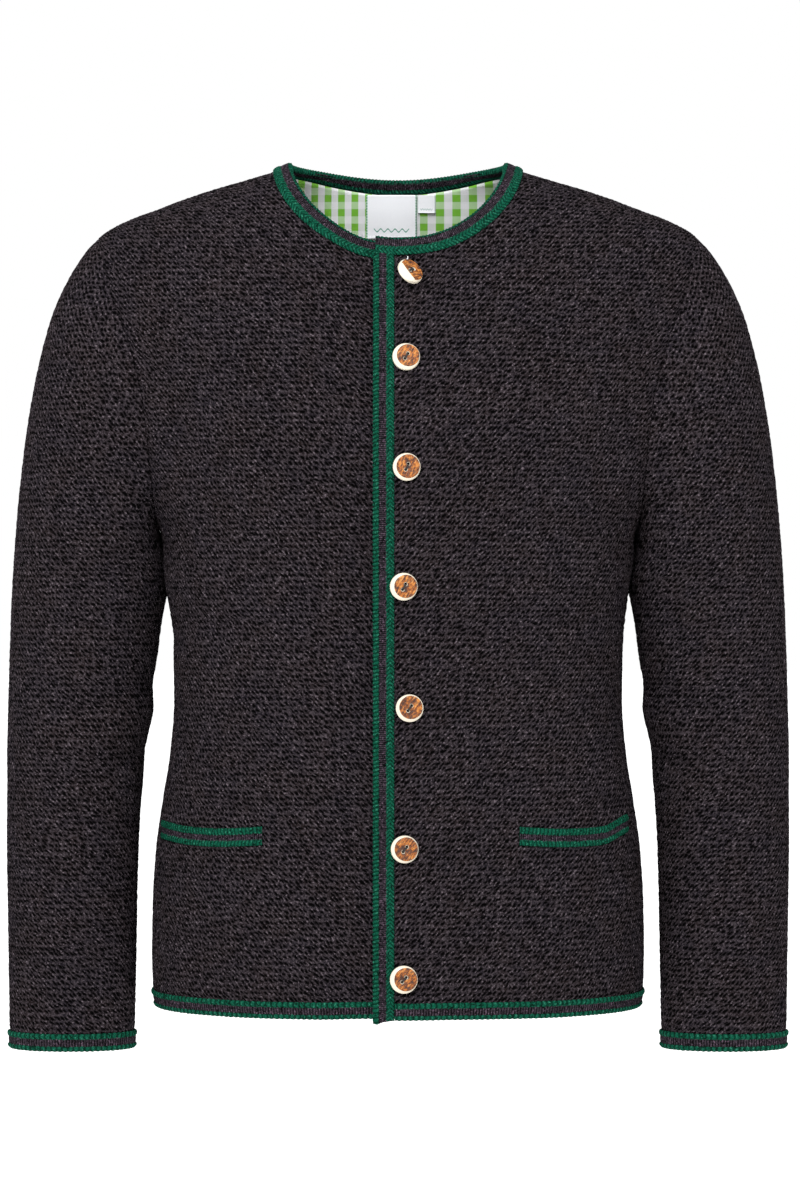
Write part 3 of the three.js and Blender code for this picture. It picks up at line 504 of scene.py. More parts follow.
def join(name, parts):
    """Joins objects into the first one, under a new name."""
    select(*parts)
    bpy.ops.object.join()
    parts[0].name = parts[0].data.name = name
    return parts[0]


def finish_piece(obj, material, slot, *nodes):
    """Gives a piece its material, puts it under the root, and hides the solids that it stands for."""
    obj.data.materials.clear()
    obj.data.materials.append(finish(material))
    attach(obj, "root")
    if nodes:
        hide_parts(*nodes)


def zip_lines(faces, first, second, flip):
    """Joins two lines of (place along, vertex) with triangles."""
    a_at, a = first
    b_at, b = second
    i = j = 0
    while i < len(a) - 1 or j < len(b) - 1:
        if j == len(b) - 1 or (i < len(a) - 1 and a_at[i + 1] < b_at[j + 1] - 1e-6):
            face = (a[i], a[i + 1], b[j])
            i += 1
        else:
            face = (a[i], b[j + 1], b[j])
            j += 1
        faces.append(face[::-1] if flip else face)


class Cloth:
    """Collects the points of a wall of knit: its stitches outside and a plain inside."""

    def __init__(self):
        self.points, self.uv, self.faces = [], [], []

    def line(self, row, along, heights, uv):
        """Adds a line of points at distances along a row; gives (distances, their numbers)."""
        first = len(self.points)
        place = at_run(row["run"], row["place"], along)
        out = unit(at_run(row["run"], row["out"], along))
        self.points.extend(place + out * np.asarray(heights)[:, None])
        self.uv.extend(uv)
        return along, list(range(first, first + len(along)))

    def skin(self, lines, flip):
        """Joins each line to the next."""
        for below, above in zip(lines, lines[1:]):
            zip_lines(self.faces, below, above, flip)


def knit_cloth(name, rows, settings, flip, flat, signed=1):
    """A wall of knit over the rows, with a hole between each four stitches and a strand slanting past
    it. flat says where the stitches lie flat, under a trim or a seam."""
    pitch, height = settings.stitch_width / MM, settings.row_height / MM
    relief = settings.relief / MM
    half = pitch / 2
    rng = np.random.default_rng(len(rows) + len(name))
    cloth = Cloth()
    outside, inside = [], []
    last = len(rows) - 1
    for i, row in enumerate(rows):
        start, end = row["run"][0], row["run"][-1]
        steps = np.arange(math.ceil(start / half + 0.35), math.floor(end / half - 0.35) + 1)
        along = np.concatenate([[start], steps * half, [end]])
        strand = np.where(steps % 2 == i % 2, *STRAND_LEVELS)
        stitch = relief * np.where((steps % 2 == 0) & (i % 2 == 0), HOLE_LEVEL, strand)
        stitch = stitch * rng.uniform(0.5, 1.5, len(steps))
        stitch = np.concatenate([[0.0], stitch, [0.0]])
        place = at_run(row["run"], row["place"], along)
        level = flat(place, row["v"])
        uv = np.stack([along * signed / pitch, np.full(len(along), row["v"] / height)], axis=-1)
        outside.append(cloth.line(row, along, stitch * level - FLAT_SINK * (1 - level), uv))
        if i % INSIDE_ROWS == 0 or i == last:
            count = max(2, int((end - start) / INSIDE_STEP) + 2)
            coarse = np.linspace(start, end, count)
            uv = np.stack([coarse * signed / pitch, np.full(count, row["v"] / height)], axis=-1)
            inside.append(cloth.line(row, coarse, np.full(count, -KNIT), uv) + (i,))
    cloth.skin(outside, flip)
    cloth.skin([(along, index) for along, index, _ in inside], not flip)
    first, final = inside[0], inside[-1]
    zip_lines(cloth.faces, first[:2], outside[0], flip)
    zip_lines(cloth.faces, outside[-1], final[:2], flip)
    first_open = max(sum(row["closed"] for row in rows) - 1, 0)
    sides = range(first_open, len(rows))
    under = max(k for _, _, k in inside if k <= first_open)
    inner_sides = [(index, k) for _, index, k in inside if k >= under]
    for end in (0, -1):
        outer_line = (np.array(sides, float), [outside[k][1][end] for k in sides])
        inner_at = np.array([k for _, k in inner_sides], float)
        inner_line = (inner_at, [index[end] for index, _ in inner_sides])
        pair = (outer_line, inner_line) if end == 0 else (inner_line, outer_line)
        zip_lines(cloth.faces, *pair, flip)
    return make_object(name, cloth.points, cloth.faces, cloth.uv)


# Bands of folded trim


def trim_outline(width, lip, edge_green, far_green, lean=(0.0, 0.0), roll=0.0):
    """The folded band in section: r from the cloth's edge, h above the cloth, a colour step (0-1 green,
    1-2 charcoal, 2-3 green, 3-4 charcoal, 4-5 green), how deep its ribs are, and how far they lean.
    edge_green is where the border at the fold ends and far_green where the other one starts. lean is how
    far the ribs climb along the band: at the fold per width, and at the other border to both sides of
    its middle. roll lowers the border at the fold."""
    top, crest, under = TRIM_TOP, TRIM_CREST, TRIM_UNDER
    near, far = edge_green * width, far_green * width
    low = crest - roll

    def outer(u):
        return mix(far, width, u)

    def climb(r):
        return lean[1] * abs(max(far, r) - (far + width) / 2) + lean[0] * max(0.0, near - r)

    rows = [
        (width, FOLD_GAP, 0, 0), (width + 0.15, top * 0.7, 0.1, 0.5), (outer(0.9), top + 0.2, 0.25, 1),
        (outer(0.72), crest - 0.1, 0.4, 1), (outer(0.5), crest, 0.6, 1),
        (outer(0.28), crest - 0.15, 0.75, 1), (outer(0.08), top + 0.1, 0.92, 0.9),
        (far, top - 0.15, 1, 0.5), (mix(far, near, 0.3), top, 1.3, 0.5),
        (mix(far, near, 0.5), top + 0.05, 1.5, 0.5), (mix(far, near, 0.7), top, 1.7, 0.5),
        (near, top - 0.15, 2, 0.5), (near * 0.88, low - 0.35, 2.1, 0.9), (near * 0.62, low, 2.25, 1),
        (near * 0.3, low, 2.4, 1), (-0.3, low - 0.5, 2.5, 1), (-top * 0.85, top * 0.4, 2.6, 1),
        (-top, -KNIT / 2, 2.7, 1), (-top * 0.85, under * 0.9, 2.8, 1),
        (-top * 0.4, under - TRIM * 0.85, 2.9, 0.8), (lip * 0.08, under - TRIM, 3, 0.6),
        (lip * 0.3, under - TRIM, 3.5, 0.6), (lip * 0.55, under - TRIM, 4, 0.6),
        (lip * 0.78, under - TRIM, 4.5, 0.8), (lip * 0.96, under - TRIM * 0.9, 4.8, 0.8),
        (lip, under, 5, 0), (-FOLD_GAP, under, 5, 0), (-FOLD_GAP, FOLD_GAP, 5, 0),
        (width * 0.45, FOLD_GAP, 5, 0),
    ]
    return table("r h colour rib climb", [row + (climb(row[0]),) for row in rows])


def section_normals(section):
    """The ways out of a section, along r and h."""
    r, h = section["r"], section["h"]
    away = unit(np.stack([np.roll(r, -1) - np.roll(r, 1), np.roll(h, -1) - np.roll(h, 1)], axis=-1))
    return away[:, 1], -away[:, 0]


def band(name, place, section, length, pitch, depth, closed=False):
    """Sweeps a section past stations. place turns distances along the band, r and h into points.
    The borders have a rib every pitch and the charcoal between them two, depth high."""
    per_rib = 6
    ribs = max(1, round(length / pitch))
    count = ribs * per_rib
    stations = np.arange(count if closed else count + 1) / count * length
    r, h = section["r"], section["h"]
    away_r, away_h = section_normals(section)
    s = np.broadcast_to(stations[:, None], (len(stations), len(r)))
    rib_at = s * ribs / length + section["climb"] / pitch
    phase = rib_at * 2 * math.pi
    fine = (section["colour"].astype(int) % 2 == 1)
    rib = np.where(fine, 0.6 * np.cos(2 * phase), np.cos(phase)) * depth * section["rib"]
    rng = np.random.default_rng(count)
    rib = rib * rng.uniform(0.6, 1.4, (len(stations), 1)) + rng.normal(0, 0.12 * depth, s.shape)
    rib = np.where(section["colour"] >= 5, 0, rib)
    points = place(s, r + away_r * rib, h + away_h * rib)
    size = len(r)
    uv = np.stack([rib_at, np.broadcast_to(section["colour"], s.shape)], axis=-1)
    faces = []
    for i in range(count):
        here, after = i * size, ((i + 1) % len(stations)) * size
        for k in range(size):
            n = (k + 1) % size
            faces.append((here + k, here + n, after + n, after + k))
    if not closed:
        faces.append(tuple(range(size))[::-1])
        faces.append(tuple(range(count * size, (count + 1) * size)))
    obj = make_object(name, points.reshape(-1, 3), faces, uv.reshape(-1, 2))
    face_out(obj)
    return obj


def path_band(lookup, fine, width):
    """Turns a lookup of (position, r) into a function of walked distance, r and h. fine are the
    positions, walked half way up the band; r below 0 goes on straight past the cloth's edge."""
    run = run_of(lookup(fine, np.full_like(fine, width / 2))[0])

    def place(s, r, h):
        position = np.interp(s, run, fine)
        found, out = lookup(position, np.maximum(r, 0))
        edge = lookup(position, np.zeros_like(r))[0]
        inner = lookup(position, np.full_like(r, 4.0))[0]
        away = unit(edge - inner)
        return found + away * np.maximum(-r, 0)[..., None] + out * h[..., None]

    return place, run[-1]


def sew_band(name, node, lookup, fine, width, section, rib,
             closed=False):
    """Makes a band over a lookup with ribs of (pitch, depth), gives it its finish, and hides the solid that
    it stands for.
    """
    place, length = path_band(lookup, fine, width)
    obj = band(name, place, section, length, *rib, closed)
    finish_piece(obj, "ribbed_trim", "trim", node)


def neck_lookup(position, r):
    """Round the neck: -1 to 1 along the left front, from its edge and the end of the front trim at 0, 1
    to 3 over the back, 3 to 5 along the right front."""
    place = np.zeros(position.shape + (3,))
    out = np.zeros_like(place)
    trim_end = FRONT_TRIM_WIDTH - OVERLAP
    start_turn = math.asin(trim_end / NECK_HALF_WIDTH) * 2 / math.pi
    for face, mirror, rise, part, along in (
        (-1, 1, LEFT_RISE, position < 1, position),
        (1, 1, NO_RISE, (position >= 1) & (position < 2), 2 - position),
        (1, -1, NO_RISE, (position >= 2) & (position < 3), position - 2),
        (-1, -1, RIGHT_RISE, position >= 3, 4 - position),
    ):
        if not part.any():
            continue
        w, reach = along[part], r[part]
        turn = np.where(w < 0, 0, mix(start_turn if face < 0 else 0.0, 1, clamp01(w)))
        x, z = neck_line(turn, reach, face)
        if face < 0:
            edge_x = mix(-OVERLAP, trim_end, 1 + np.minimum(w, 0))
            x = np.where(w < 0, edge_x, x)
            z = np.where(w < 0, neck_z(edge_x, reach, face), z)
        place[part], out[part] = body_place(x, z, face, mirror, rise)
    return place, out


# Materials: sums on sockets are written as Python sums


class Value:
    """A number socket that Python's operators can reckon with."""

    def __init__(self, maker, socket):
        self.maker, self.socket = maker, socket

    def sum(self, operation, *others):
        sockets = dict(enumerate((self, *others)))
        return self.maker.node("ShaderNodeMath", {"operation": operation}, sockets)

    __add__ = __radd__ = partialmethod(sum, "ADD")
    __sub__ = partialmethod(sum, "SUBTRACT")
    __mul__ = __rmul__ = partialmethod(sum, "MULTIPLY")
    __pow__ = partialmethod(sum, "POWER")
    __mod__ = partialmethod(sum, "FLOORED_MODULO")
    cos = partialmethod(sum, "COSINE")
    floor = partialmethod(sum, "FLOOR")
    abs = partialmethod(sum, "ABSOLUTE")
    most = partialmethod(sum, "MAXIMUM")

    def __rsub__(self, other):
        return (self * -1) + other

    def between(self, low, high):
        """0 below low, 1 above high, and smooth between them."""
        return self.maker.node("ShaderNodeMapRange", {"interpolation_type": "SMOOTHSTEP", "clamp": True},
                               {"Value": self, "From Min": low, "From Max": high})


class Finish:
    """A material being made."""

    def __init__(self, name):
        self.material = bpy.data.materials.new(name)
        self.material.use_nodes = True
        self.tree = self.material.node_tree
        self.tree.nodes.clear()

    def node(self, kind, settings=None, sockets=None, out=0):
        """Adds a node: its settings first, then its sockets. Gives its output number out."""
        node = self.tree.nodes.new(kind)
        for key, value in (settings or {}).items():
            if key == "stops":
                ramp = node.color_ramp
                while len(ramp.elements) < len(value):
                    ramp.elements.new(0.5)
                for element, (position, colour) in zip(ramp.elements, value):
                    element.position, element.color = position, tuple(colour) + (1.0,)
            else:
                setattr(node, key, value)
        for key, value in (sockets or {}).items():
            socket = node.inputs[key]
            if isinstance(value, Value):
                self.tree.links.new(value.socket, socket)
            elif isinstance(value, (tuple, list)) and len(value) == 3 and socket.type == "RGBA":
                socket.default_value = tuple(value) + (1.0,)
            else:
                socket.default_value = value
        return Value(self, node.outputs[out])

    def mix(self, factor, a, b):
        """A colour between a and b."""
        return self.node("ShaderNodeMix", {"data_type": "RGBA"}, {0: factor, 6: a, 7: b}, out=2)

    def part(self, vector, number):
        """One number of a vector or a colour."""
        return self.node("ShaderNodeSeparateXYZ", {}, {0: vector}, out=number)

    def uv(self):
        where = self.node("ShaderNodeUVMap", {"uv_map": "cloth"})
        return self.part(where, 0), self.part(where, 1)

    def place(self, x, y, z=0.0):
        return self.node("ShaderNodeCombineXYZ", {}, {0: x, 1: y, 2: z})

    def here(self):
        return self.node("ShaderNodeTexCoord", out=3)

    def noise(self, where, scale, detail=2.0, rough=0.5, kind="3D", out=0):
        return self.node("ShaderNodeTexNoise", {"noise_dimensions": kind},
                         {"Vector": where, "Scale": scale, "Detail": detail, "Roughness": rough}, out)

    def chance(self, where):
        return self.node("ShaderNodeTexWhiteNoise", {"noise_dimensions": "3D"}, {"Vector": where})

    def bump(self, height, distance, strength=1.0):
        sockets = {"Height": height, "Distance": distance, "Strength": strength}
        return self.node("ShaderNodeBump", {}, sockets)

    def done(self, **sockets):
        """Puts the shader's sockets in place; spaces in their names are written as _."""
        sockets = {key.replace("_", " "): value for key, value in sockets.items()}
        shader = self.node("ShaderNodeBsdfPrincipled", {}, sockets)
        output = self.tree.nodes.new("ShaderNodeOutputMaterial")
        self.tree.links.new(shader.socket, output.inputs["Surface"])
        return self.material


def scaled(colour, factor):
    """A lighter or darker colour."""
    return tuple(min(1.0, c * factor) for c in colour)


def knit_finish(settings):
    """Heathered yarn: strands that slant past small holes, one hole to each stitch. The holes are painted
    nearly black and the grooves between the strands darker, as painted shade; the yarn's light flecks
    gather on the strands' crests, partly as painted highlight.
    """
    f = Finish("heathered_knit")
    u, v = f.uv()
    here = f.here()
    loose = 0.42
    sway = f.noise(f.place(u * 0.5, v * 0.5), 1.0, kind="2D", out=1)
    across = u + (f.part(sway, 0) - 0.5) * 0.9
    up = v + (f.part(sway, 1) - 0.5) * 0.7
    lattice = f.place(across - up + loose / 2, up + loose / 2)
    sockets = {"Vector": lattice, "Scale": 1.0, "Randomness": loose}
    near, colour = (f.node("ShaderNodeTexVoronoi", {"voronoi_dimensions": "2D"}, sockets, out=k)
                    for k in (0, 1))
    own = f.part(colour, 0)
    cloth = (near + own * 0.14).between(0.2, 0.52)
    slant = (0.5 - ((across - up) * 2 * math.pi).cos() * 0.5).between(0.25, 0.95)
    row = f.noise(f.place(u * 0.03, v * 0.8), 1.0, kind="2D").between(0.35, 0.65)
    fibre = f.noise(here, 1100.0, 2.0, 0.6)
    yarn = f.noise(here, 620.0, 2.0, 0.6)
    fleck_and_highlight = f.noise(here, 560.0, 1.0, 0.5).between(0.57, 0.72)
    tone = f.noise(here, 34.0, 3.0, 0.6).between(0.35, 0.65)
    base = tuple(settings.knit_colour)
    warm = (base[0] * 1.16, base[1], base[2] * 0.9)
    cool = (base[0] * 0.94, base[1] * 0.96, base[2] * 1.14)
    colour = f.mix(tone, warm, cool)
    # partly painted shade: the grooves between the slanting strands are painted darker; partly each
    # stitch's and row's own tone at random
    colour = f.mix(slant * 0.5 + own * 0.2 + row * 0.3, f.mix(0.65, colour, (0.0, 0.0, 0.0)), colour)
    colour = f.mix((yarn - 0.42).most(0.0) * 4.5, colour, scaled(base, 3.2))
    # light flecks of the heathered yarn, weighted onto the strands' crests as painted highlight
    colour = f.mix(fleck_and_highlight * (slant * 0.7 + 0.3), colour, scaled(base, 8.0))
    # painted shade: the holes are painted nearly black, a twentieth of the yarn colour, as the shade inside
    # them
    colour = f.mix(cloth, scaled(base, 0.05), colour)
    height = cloth * 0.9 + slant * 0.35 + fibre * 0.25 + yarn * 0.35
    return f.done(Base_Color=colour, Roughness=0.95, Specular_IOR_Level=0.02,
                  Normal=f.bump(height, 0.0013, 1.0))


def trim_finish(settings):
    """The band's two green borders with charcoal between them, ribbed across and flecked with lighter
    strands. Its colour is painted dark in the grooves between the ribs and light on their crests, as
    painted shade and painted light, and the lighter strands gather on the crests, partly as painted
    highlight.
    """
    f = Finish("ribbed_trim")
    along, step = f.uv()
    here = f.here()
    fibre = f.noise(here, 1000.0, 3.0, 0.6)
    blotch = f.noise(here, 330.0, 2.0, 0.6)
    light = f.noise(here, 640.0, 2.0, 0.6).between(0.5, 0.68)
    shade = f.noise(here, 520.0, 2.0, 0.6).between(0.34, 0.48)
    edge = step + (along * 4 * math.pi).cos() * 0.06 + (blotch - 0.5) * 0.3
    stripe = edge.floor() % 2.0
    rib = (along * 2 * math.pi).cos() * 0.5 + 0.5
    fine_rib = (along * 4 * math.pi).cos() * 0.5 + 0.5
    own = f.chance(f.place(along.floor(), edge.floor(), 4.0))
    green = tuple(settings.trim_green)
    dark = tuple(settings.trim_charcoal)
    # painted shade and light: the green is painted dark in the grooves between the ribs and lighter on
    # their crests, beside each rib's own tone at random
    green_now = f.mix(rib.between(0.0, 0.5) * 0.8 + own * 0.2, scaled(green, 0.3), scaled(green, 1.1))
    # lighter strands in the green, weighted onto the rib crests as painted highlight
    green_now = f.mix(light * rib, green_now, tuple(settings.trim_light))
    green_now = f.mix(shade, scaled(green, 0.18), green_now)
    # painted shade and light: the charcoal is painted dark in the grooves of its fine ribs and lighter on
    # their crests, beside each rib's own tone at random
    dark_now = f.mix(fine_rib.between(0.2, 0.75) * 0.75 + own * 0.25, scaled(dark, 0.1), scaled(dark, 1.5))
    fleck_and_highlight = (dark[0] * 6.5, dark[1] * 5.5, dark[2] * 6.0)
    # light flecks in the charcoal, weighted onto the fine ribs' crests as painted highlight
    dark_now = f.mix(light * (fine_rib * 0.8 + 0.2), dark_now, fleck_and_highlight)
    dark_now = f.mix(shade, scaled(dark, 0.1), dark_now)
    colour = f.mix(stripe, green_now, dark_now)
    height = fibre * 0.6 + blotch * 0.5 + light * 0.4 + f.mix(stripe, rib, fine_rib) * 0.5
    return f.done(Base_Color=colour, Roughness=0.9, Specular_IOR_Level=0.03,
                  Normal=f.bump(height, 0.0008, 1.0))


def lining_finish(settings):
    """A woven check: strong green where its stripes cross, paler along each stripe."""
    f = Finish("checked_lining")
    u, v = f.uv()
    here = f.here()
    warp, weft = ((0.25 - ((way + 0.5) % 1.0 - 0.5).abs()).between(-0.02, 0.02) for way in (u, v))
    white = (0.93, 0.93, 0.96)
    lime = tuple(settings.check_green)
    colour = f.mix(warp, white, f.mix(0.62, white, lime))
    colour = f.mix(weft * (1 - warp) * 0.25, colour, (0.5, 0.62, 0.48))
    colour = f.mix(warp * weft, colour, scaled(lime, 0.85))
    threads = (u * 2 * math.pi * 22).cos() * (v * 2 * math.pi * 22).cos()
    slub = f.noise(here, 500.0, 2.0)
    colour = f.mix((threads * 0.5 + 0.5) * 0.05 + slub * 0.05, colour, (0.5, 0.6, 0.42))
    return f.done(Base_Color=colour, Roughness=0.8, Specular_IOR_Level=0.3,
                  Normal=f.bump(threads + slub * 0.5, 0.00025, 0.7), Sheen_Weight=0.1)


def label_finish(settings):
    """White satin with a woven green line along its side edges and a wavy one across it."""
    f = Finish("satin_label")
    u, v = f.uv()
    here = f.here()
    line = (u - 0.5).abs().between(0.472, 0.482)
    dash = (v * 2 * math.pi * 16).cos().between(-0.3, 0.3) * 0.5 + 0.5
    weave = (v * 2 * math.pi * 60).cos() * 0.5 + 0.5
    slub = f.noise(here, 700.0, 2.0)
    white = tuple(settings.label_colour)
    wave = (v - 0.2 - (u * 2 * math.pi * 7).cos() * 0.035).abs().between(0.008, 0.02)
    across = (u - 0.5).abs().between(0.34, 0.36)
    colour = f.mix(slub * 0.14 + weave * 0.06, white, (0.6, 0.64, 0.7))
    colour = f.mix((1 - wave) * (1 - across), colour, (0.02, 0.26, 0.16))
    colour = f.mix(line * dash, colour, (0.03, 0.3, 0.12))
    return f.done(Base_Color=colour, Roughness=0.42, Specular_IOR_Level=0.5,
                  Normal=f.bump(weave * 0.6 + slub, 0.00015, 0.6), Sheen_Weight=0.1)


def horn_finish(settings):
    """A slice of antler: brown bark in the middle, cream where it is cut, and round the two holes."""
    f = Finish("antler_horn")
    u, v = f.uv()
    here = f.here()
    bark = f.noise(here, 230.0, 5.0, 0.7)
    level = f.part(here, 2)
    streak = f.noise(f.place(u * 1.6, v * 8.0, level * 40), 1.0, 4.0, 0.65)
    scratch = f.noise(f.place(u * 3.0 + v * 9.0, v * 3.0 - u * 2.0, level * 60), 1.0, 3.0, 0.6)
    ragged = f.noise(here, 420.0, 3.0, 0.6)
    inside = f.node("ShaderNodeAttribute", {"attribute_name": "bark", "attribute_type": "GEOMETRY"}, out=2)
    inside = (inside + (ragged - 0.5) * 0.35).between(0.42, 0.58)
    beside = u.abs() - HOLE_SPACING / BUTTON_RADIUS / 2
    round_hole = (beside * beside + v * v) ** 0.5
    inside = inside * round_hole.between(0.12, 0.17)
    brown = f.node("ShaderNodeValToRGB", {"stops": [
        (0.4, (0.015, 0.004, 0.001)), (0.47, (0.09, 0.022, 0.002)), (0.53, (0.26, 0.072, 0.006)),
        (0.62, (0.46, 0.18, 0.03))]}, {0: bark * 0.62 + streak * 0.45 - 0.02})
    brown = f.mix(scratch.between(0.52, 0.58) * 0.75, brown, (0.035, 0.014, 0.01))
    brown = f.mix(streak.between(0.58, 0.66) * 0.4, brown, (0.5, 0.27, 0.11))
    cream = f.mix(f.noise(here, 700.0, 2.0) * 0.3, tuple(settings.horn_rim), (0.45, 0.34, 0.2))
    colour = f.mix(inside, cream, brown)
    rough = inside * 0.2 + 0.28 + bark * 0.1
    height = (bark + streak * 0.6 + scratch * 0.4) * inside
    return f.done(Base_Color=colour, Roughness=rough, Specular_IOR_Level=0.3,
                  Normal=f.bump(height, 0.0007, 0.9), Coat_Weight=0.06, Coat_Roughness=0.25)


def thread_finish(settings):
    """Sewing thread, twisted and dark."""
    return twisted("sewing_thread", (0.006, 0.005, 0.005), (0.03, 0.02, 0.017))


def pale_thread_finish(settings):
    """The undyed end of a tacking thread."""
    return twisted("pale_thread", (0.5, 0.5, 0.55), (0.9, 0.9, 0.92))


def twisted(name, deep, high):
    """Twisted thread between two colours."""
    f = Finish(name)
    twist = f.noise(f.here(), 1500.0, 2.0)
    return f.done(Base_Color=f.mix(twist, deep, high), Roughness=0.8, Normal=f.bump(twist, 0.0003, 0.8))


def floor_finish(settings):
    """Plain pale paper."""
    f = Finish("pale_floor")
    grain = f.noise(f.here(), 60.0, 2.0)
    colour = f.mix(grain * 0.1, (0.93, 0.93, 0.93), (0.88, 0.88, 0.88))
    return f.done(Base_Color=colour, Roughness=1.0, Specular_IOR_Level=0.0,
                  Emission_Color=(1.0, 1.0, 1.0), Emission_Strength=settings.floor_glow)


FINISHES = {"heathered_knit": knit_finish, "ribbed_trim": trim_finish, "checked_lining": lining_finish,
            "satin_label": label_finish, "antler_horn": horn_finish, "sewing_thread": thread_finish,
            "pale_thread": pale_thread_finish, "pale_floor": floor_finish}


def finish(name):
    """A material by its name, made when it is first needed."""
    return bpy.data.materials.get(name) or FINISHES[name](bpy.context.scene.jacket_finish)


# Settings


def length_setting(name, description, default):
    return bpy.props.FloatProperty(name=name, description=description, default=default, unit="LENGTH",
                                   precision=5)


def colour_setting(name, description, default):
    return bpy.props.FloatVectorProperty(name=name, description=description, default=default, size=3,
                                         subtype="COLOR")


class JacketKnit(bpy.types.PropertyGroup):
    stitch_width: length_setting("Stitch width", "Width of one stitch", 0.004)
    row_height: length_setting("Row height", "Height of one row of stitches", 0.0046)
    relief: length_setting("Relief", "How far a stitch stands out of the cloth", 0.00062)
    rib_depth: length_setting("Rib depth", "Half the height of the ribs across the trim", 0.00024)
    rib_pitch: length_setting("Rib pitch", "From rib to rib on the neck, front and pocket trim", 0.0031)
    hem_rib_pitch: length_setting("Hem rib pitch", "From rib to rib on the hem and cuff trim", 0.0044)


class JacketFinish(bpy.types.PropertyGroup):
    knit_colour: colour_setting("Knit", "Charcoal of the heathered yarn", (0.0113, 0.0092, 0.0105))
    trim_green: colour_setting("Trim green", "Borders of the trim", (0.0025, 0.052, 0.029))
    # lighter strands of the trim, which its finish puts mostly on the rib crests as painted highlight
    trim_light: colour_setting("Trim light", "Lighter strands in the trim's borders", (0.025, 0.15, 0.095))
    trim_charcoal: colour_setting("Trim charcoal", "Middle of the trim", (0.017, 0.0138, 0.0175))
    check_green: colour_setting("Check green", "Stripes of the lining's check", (0.2, 0.6, 0.018))
    label_colour: colour_setting("Label", "White of the woven labels", (0.92, 0.93, 0.96))
    horn_rim: colour_setting("Horn rim", "Cream of the buttons' cut edge", (0.56, 0.52, 0.43))
    floor_glow: bpy.props.FloatProperty(
        name="Floor glow", description="Light that the pale floor gives off", default=0.35)


# Pieces


def near_neck(place, face):
    """0 under the neck trim and 1 clear of it."""
    r = neck_z(place[:, 0], 0, face) - place[:, 2]
    turned = np.maximum(np.abs(place[:, 0]) - NECK_HALF_WIDTH, r)
    inside = np.where(place[:, 2] > -100, np.maximum(turned, 0), 99.0)
    return smooth((inside - NECK_BAND + 2) / 3)


class JACKET_OT_fronts(bpy.types.Operator):
    """Knit the two fronts"""
    bl_idname = "jacket.fronts"
    bl_label = "Knit the fronts"

    def execute(self, context):
        settings = context.scene.jacket_knit
        for side, mirror, rise in (("left", 1, LEFT_RISE), ("right", -1, RIGHT_RISE)):
            rows = panel_rows(-1, -OVERLAP, mirror, rise, settings.row_height / MM / 2)

            def flat(place, v, mirror=mirror):
                hem = smooth((v - HEM_BAND + 1.2) / 3)
                edge = smooth((place[:, 0] * mirror + 3.4) / 3)
                return hem * edge * near_neck(place, -1)

            obj = knit_cloth(f"{side}_front_knit", rows, settings, mirror < 0, flat)
            finish_piece(obj, "heathered_knit", "knit", f"front_{side}")
        return {"FINISHED"}


class JACKET_OT_back(bpy.types.Operator):
    """Knit the back in one piece"""
    bl_idname = "jacket.back"
    bl_label = "Knit the back"

    def execute(self, context):
        settings = context.scene.jacket_knit

        def flat(place, v):
            return smooth((v - HEM_BAND + 1.2) / 3) * near_neck(place, 1)

        halves = []
        for mirror in (1, -1):
            rows = panel_rows(1, 0.0, mirror, NO_RISE, settings.row_height / MM / 2)
            halves.append(knit_cloth(f"back_half_{mirror}", rows, settings, mirror > 0, flat, mirror))
        obj = join("back_knit", halves)
        weld(obj)
        finish_piece(obj, "heathered_knit", "knit", "back")
        return {"FINISHED"}


class JACKET_OT_sleeves(bpy.types.Operator):
    """Knit the two sleeves"""
    bl_idname = "jacket.sleeves"
    bl_label = "Knit the sleeves"

    def execute(self, context):
        settings = context.scene.jacket_knit

        def flat(place, v):
            return np.full(len(place), smooth((v - CUFF_BAND + 3) / 3))

        for side, mirror in (("left", 1), ("right", -1)):
            rows = sleeve_rows(mirror, settings.row_height / MM / 2)
            obj = knit_cloth(f"{side}_sleeve_knit", rows, settings, mirror < 0, flat)
            weld(obj)
            finish_piece(obj, "heathered_knit", "knit", f"sleeve_{side}")
        return {"FINISHED"}


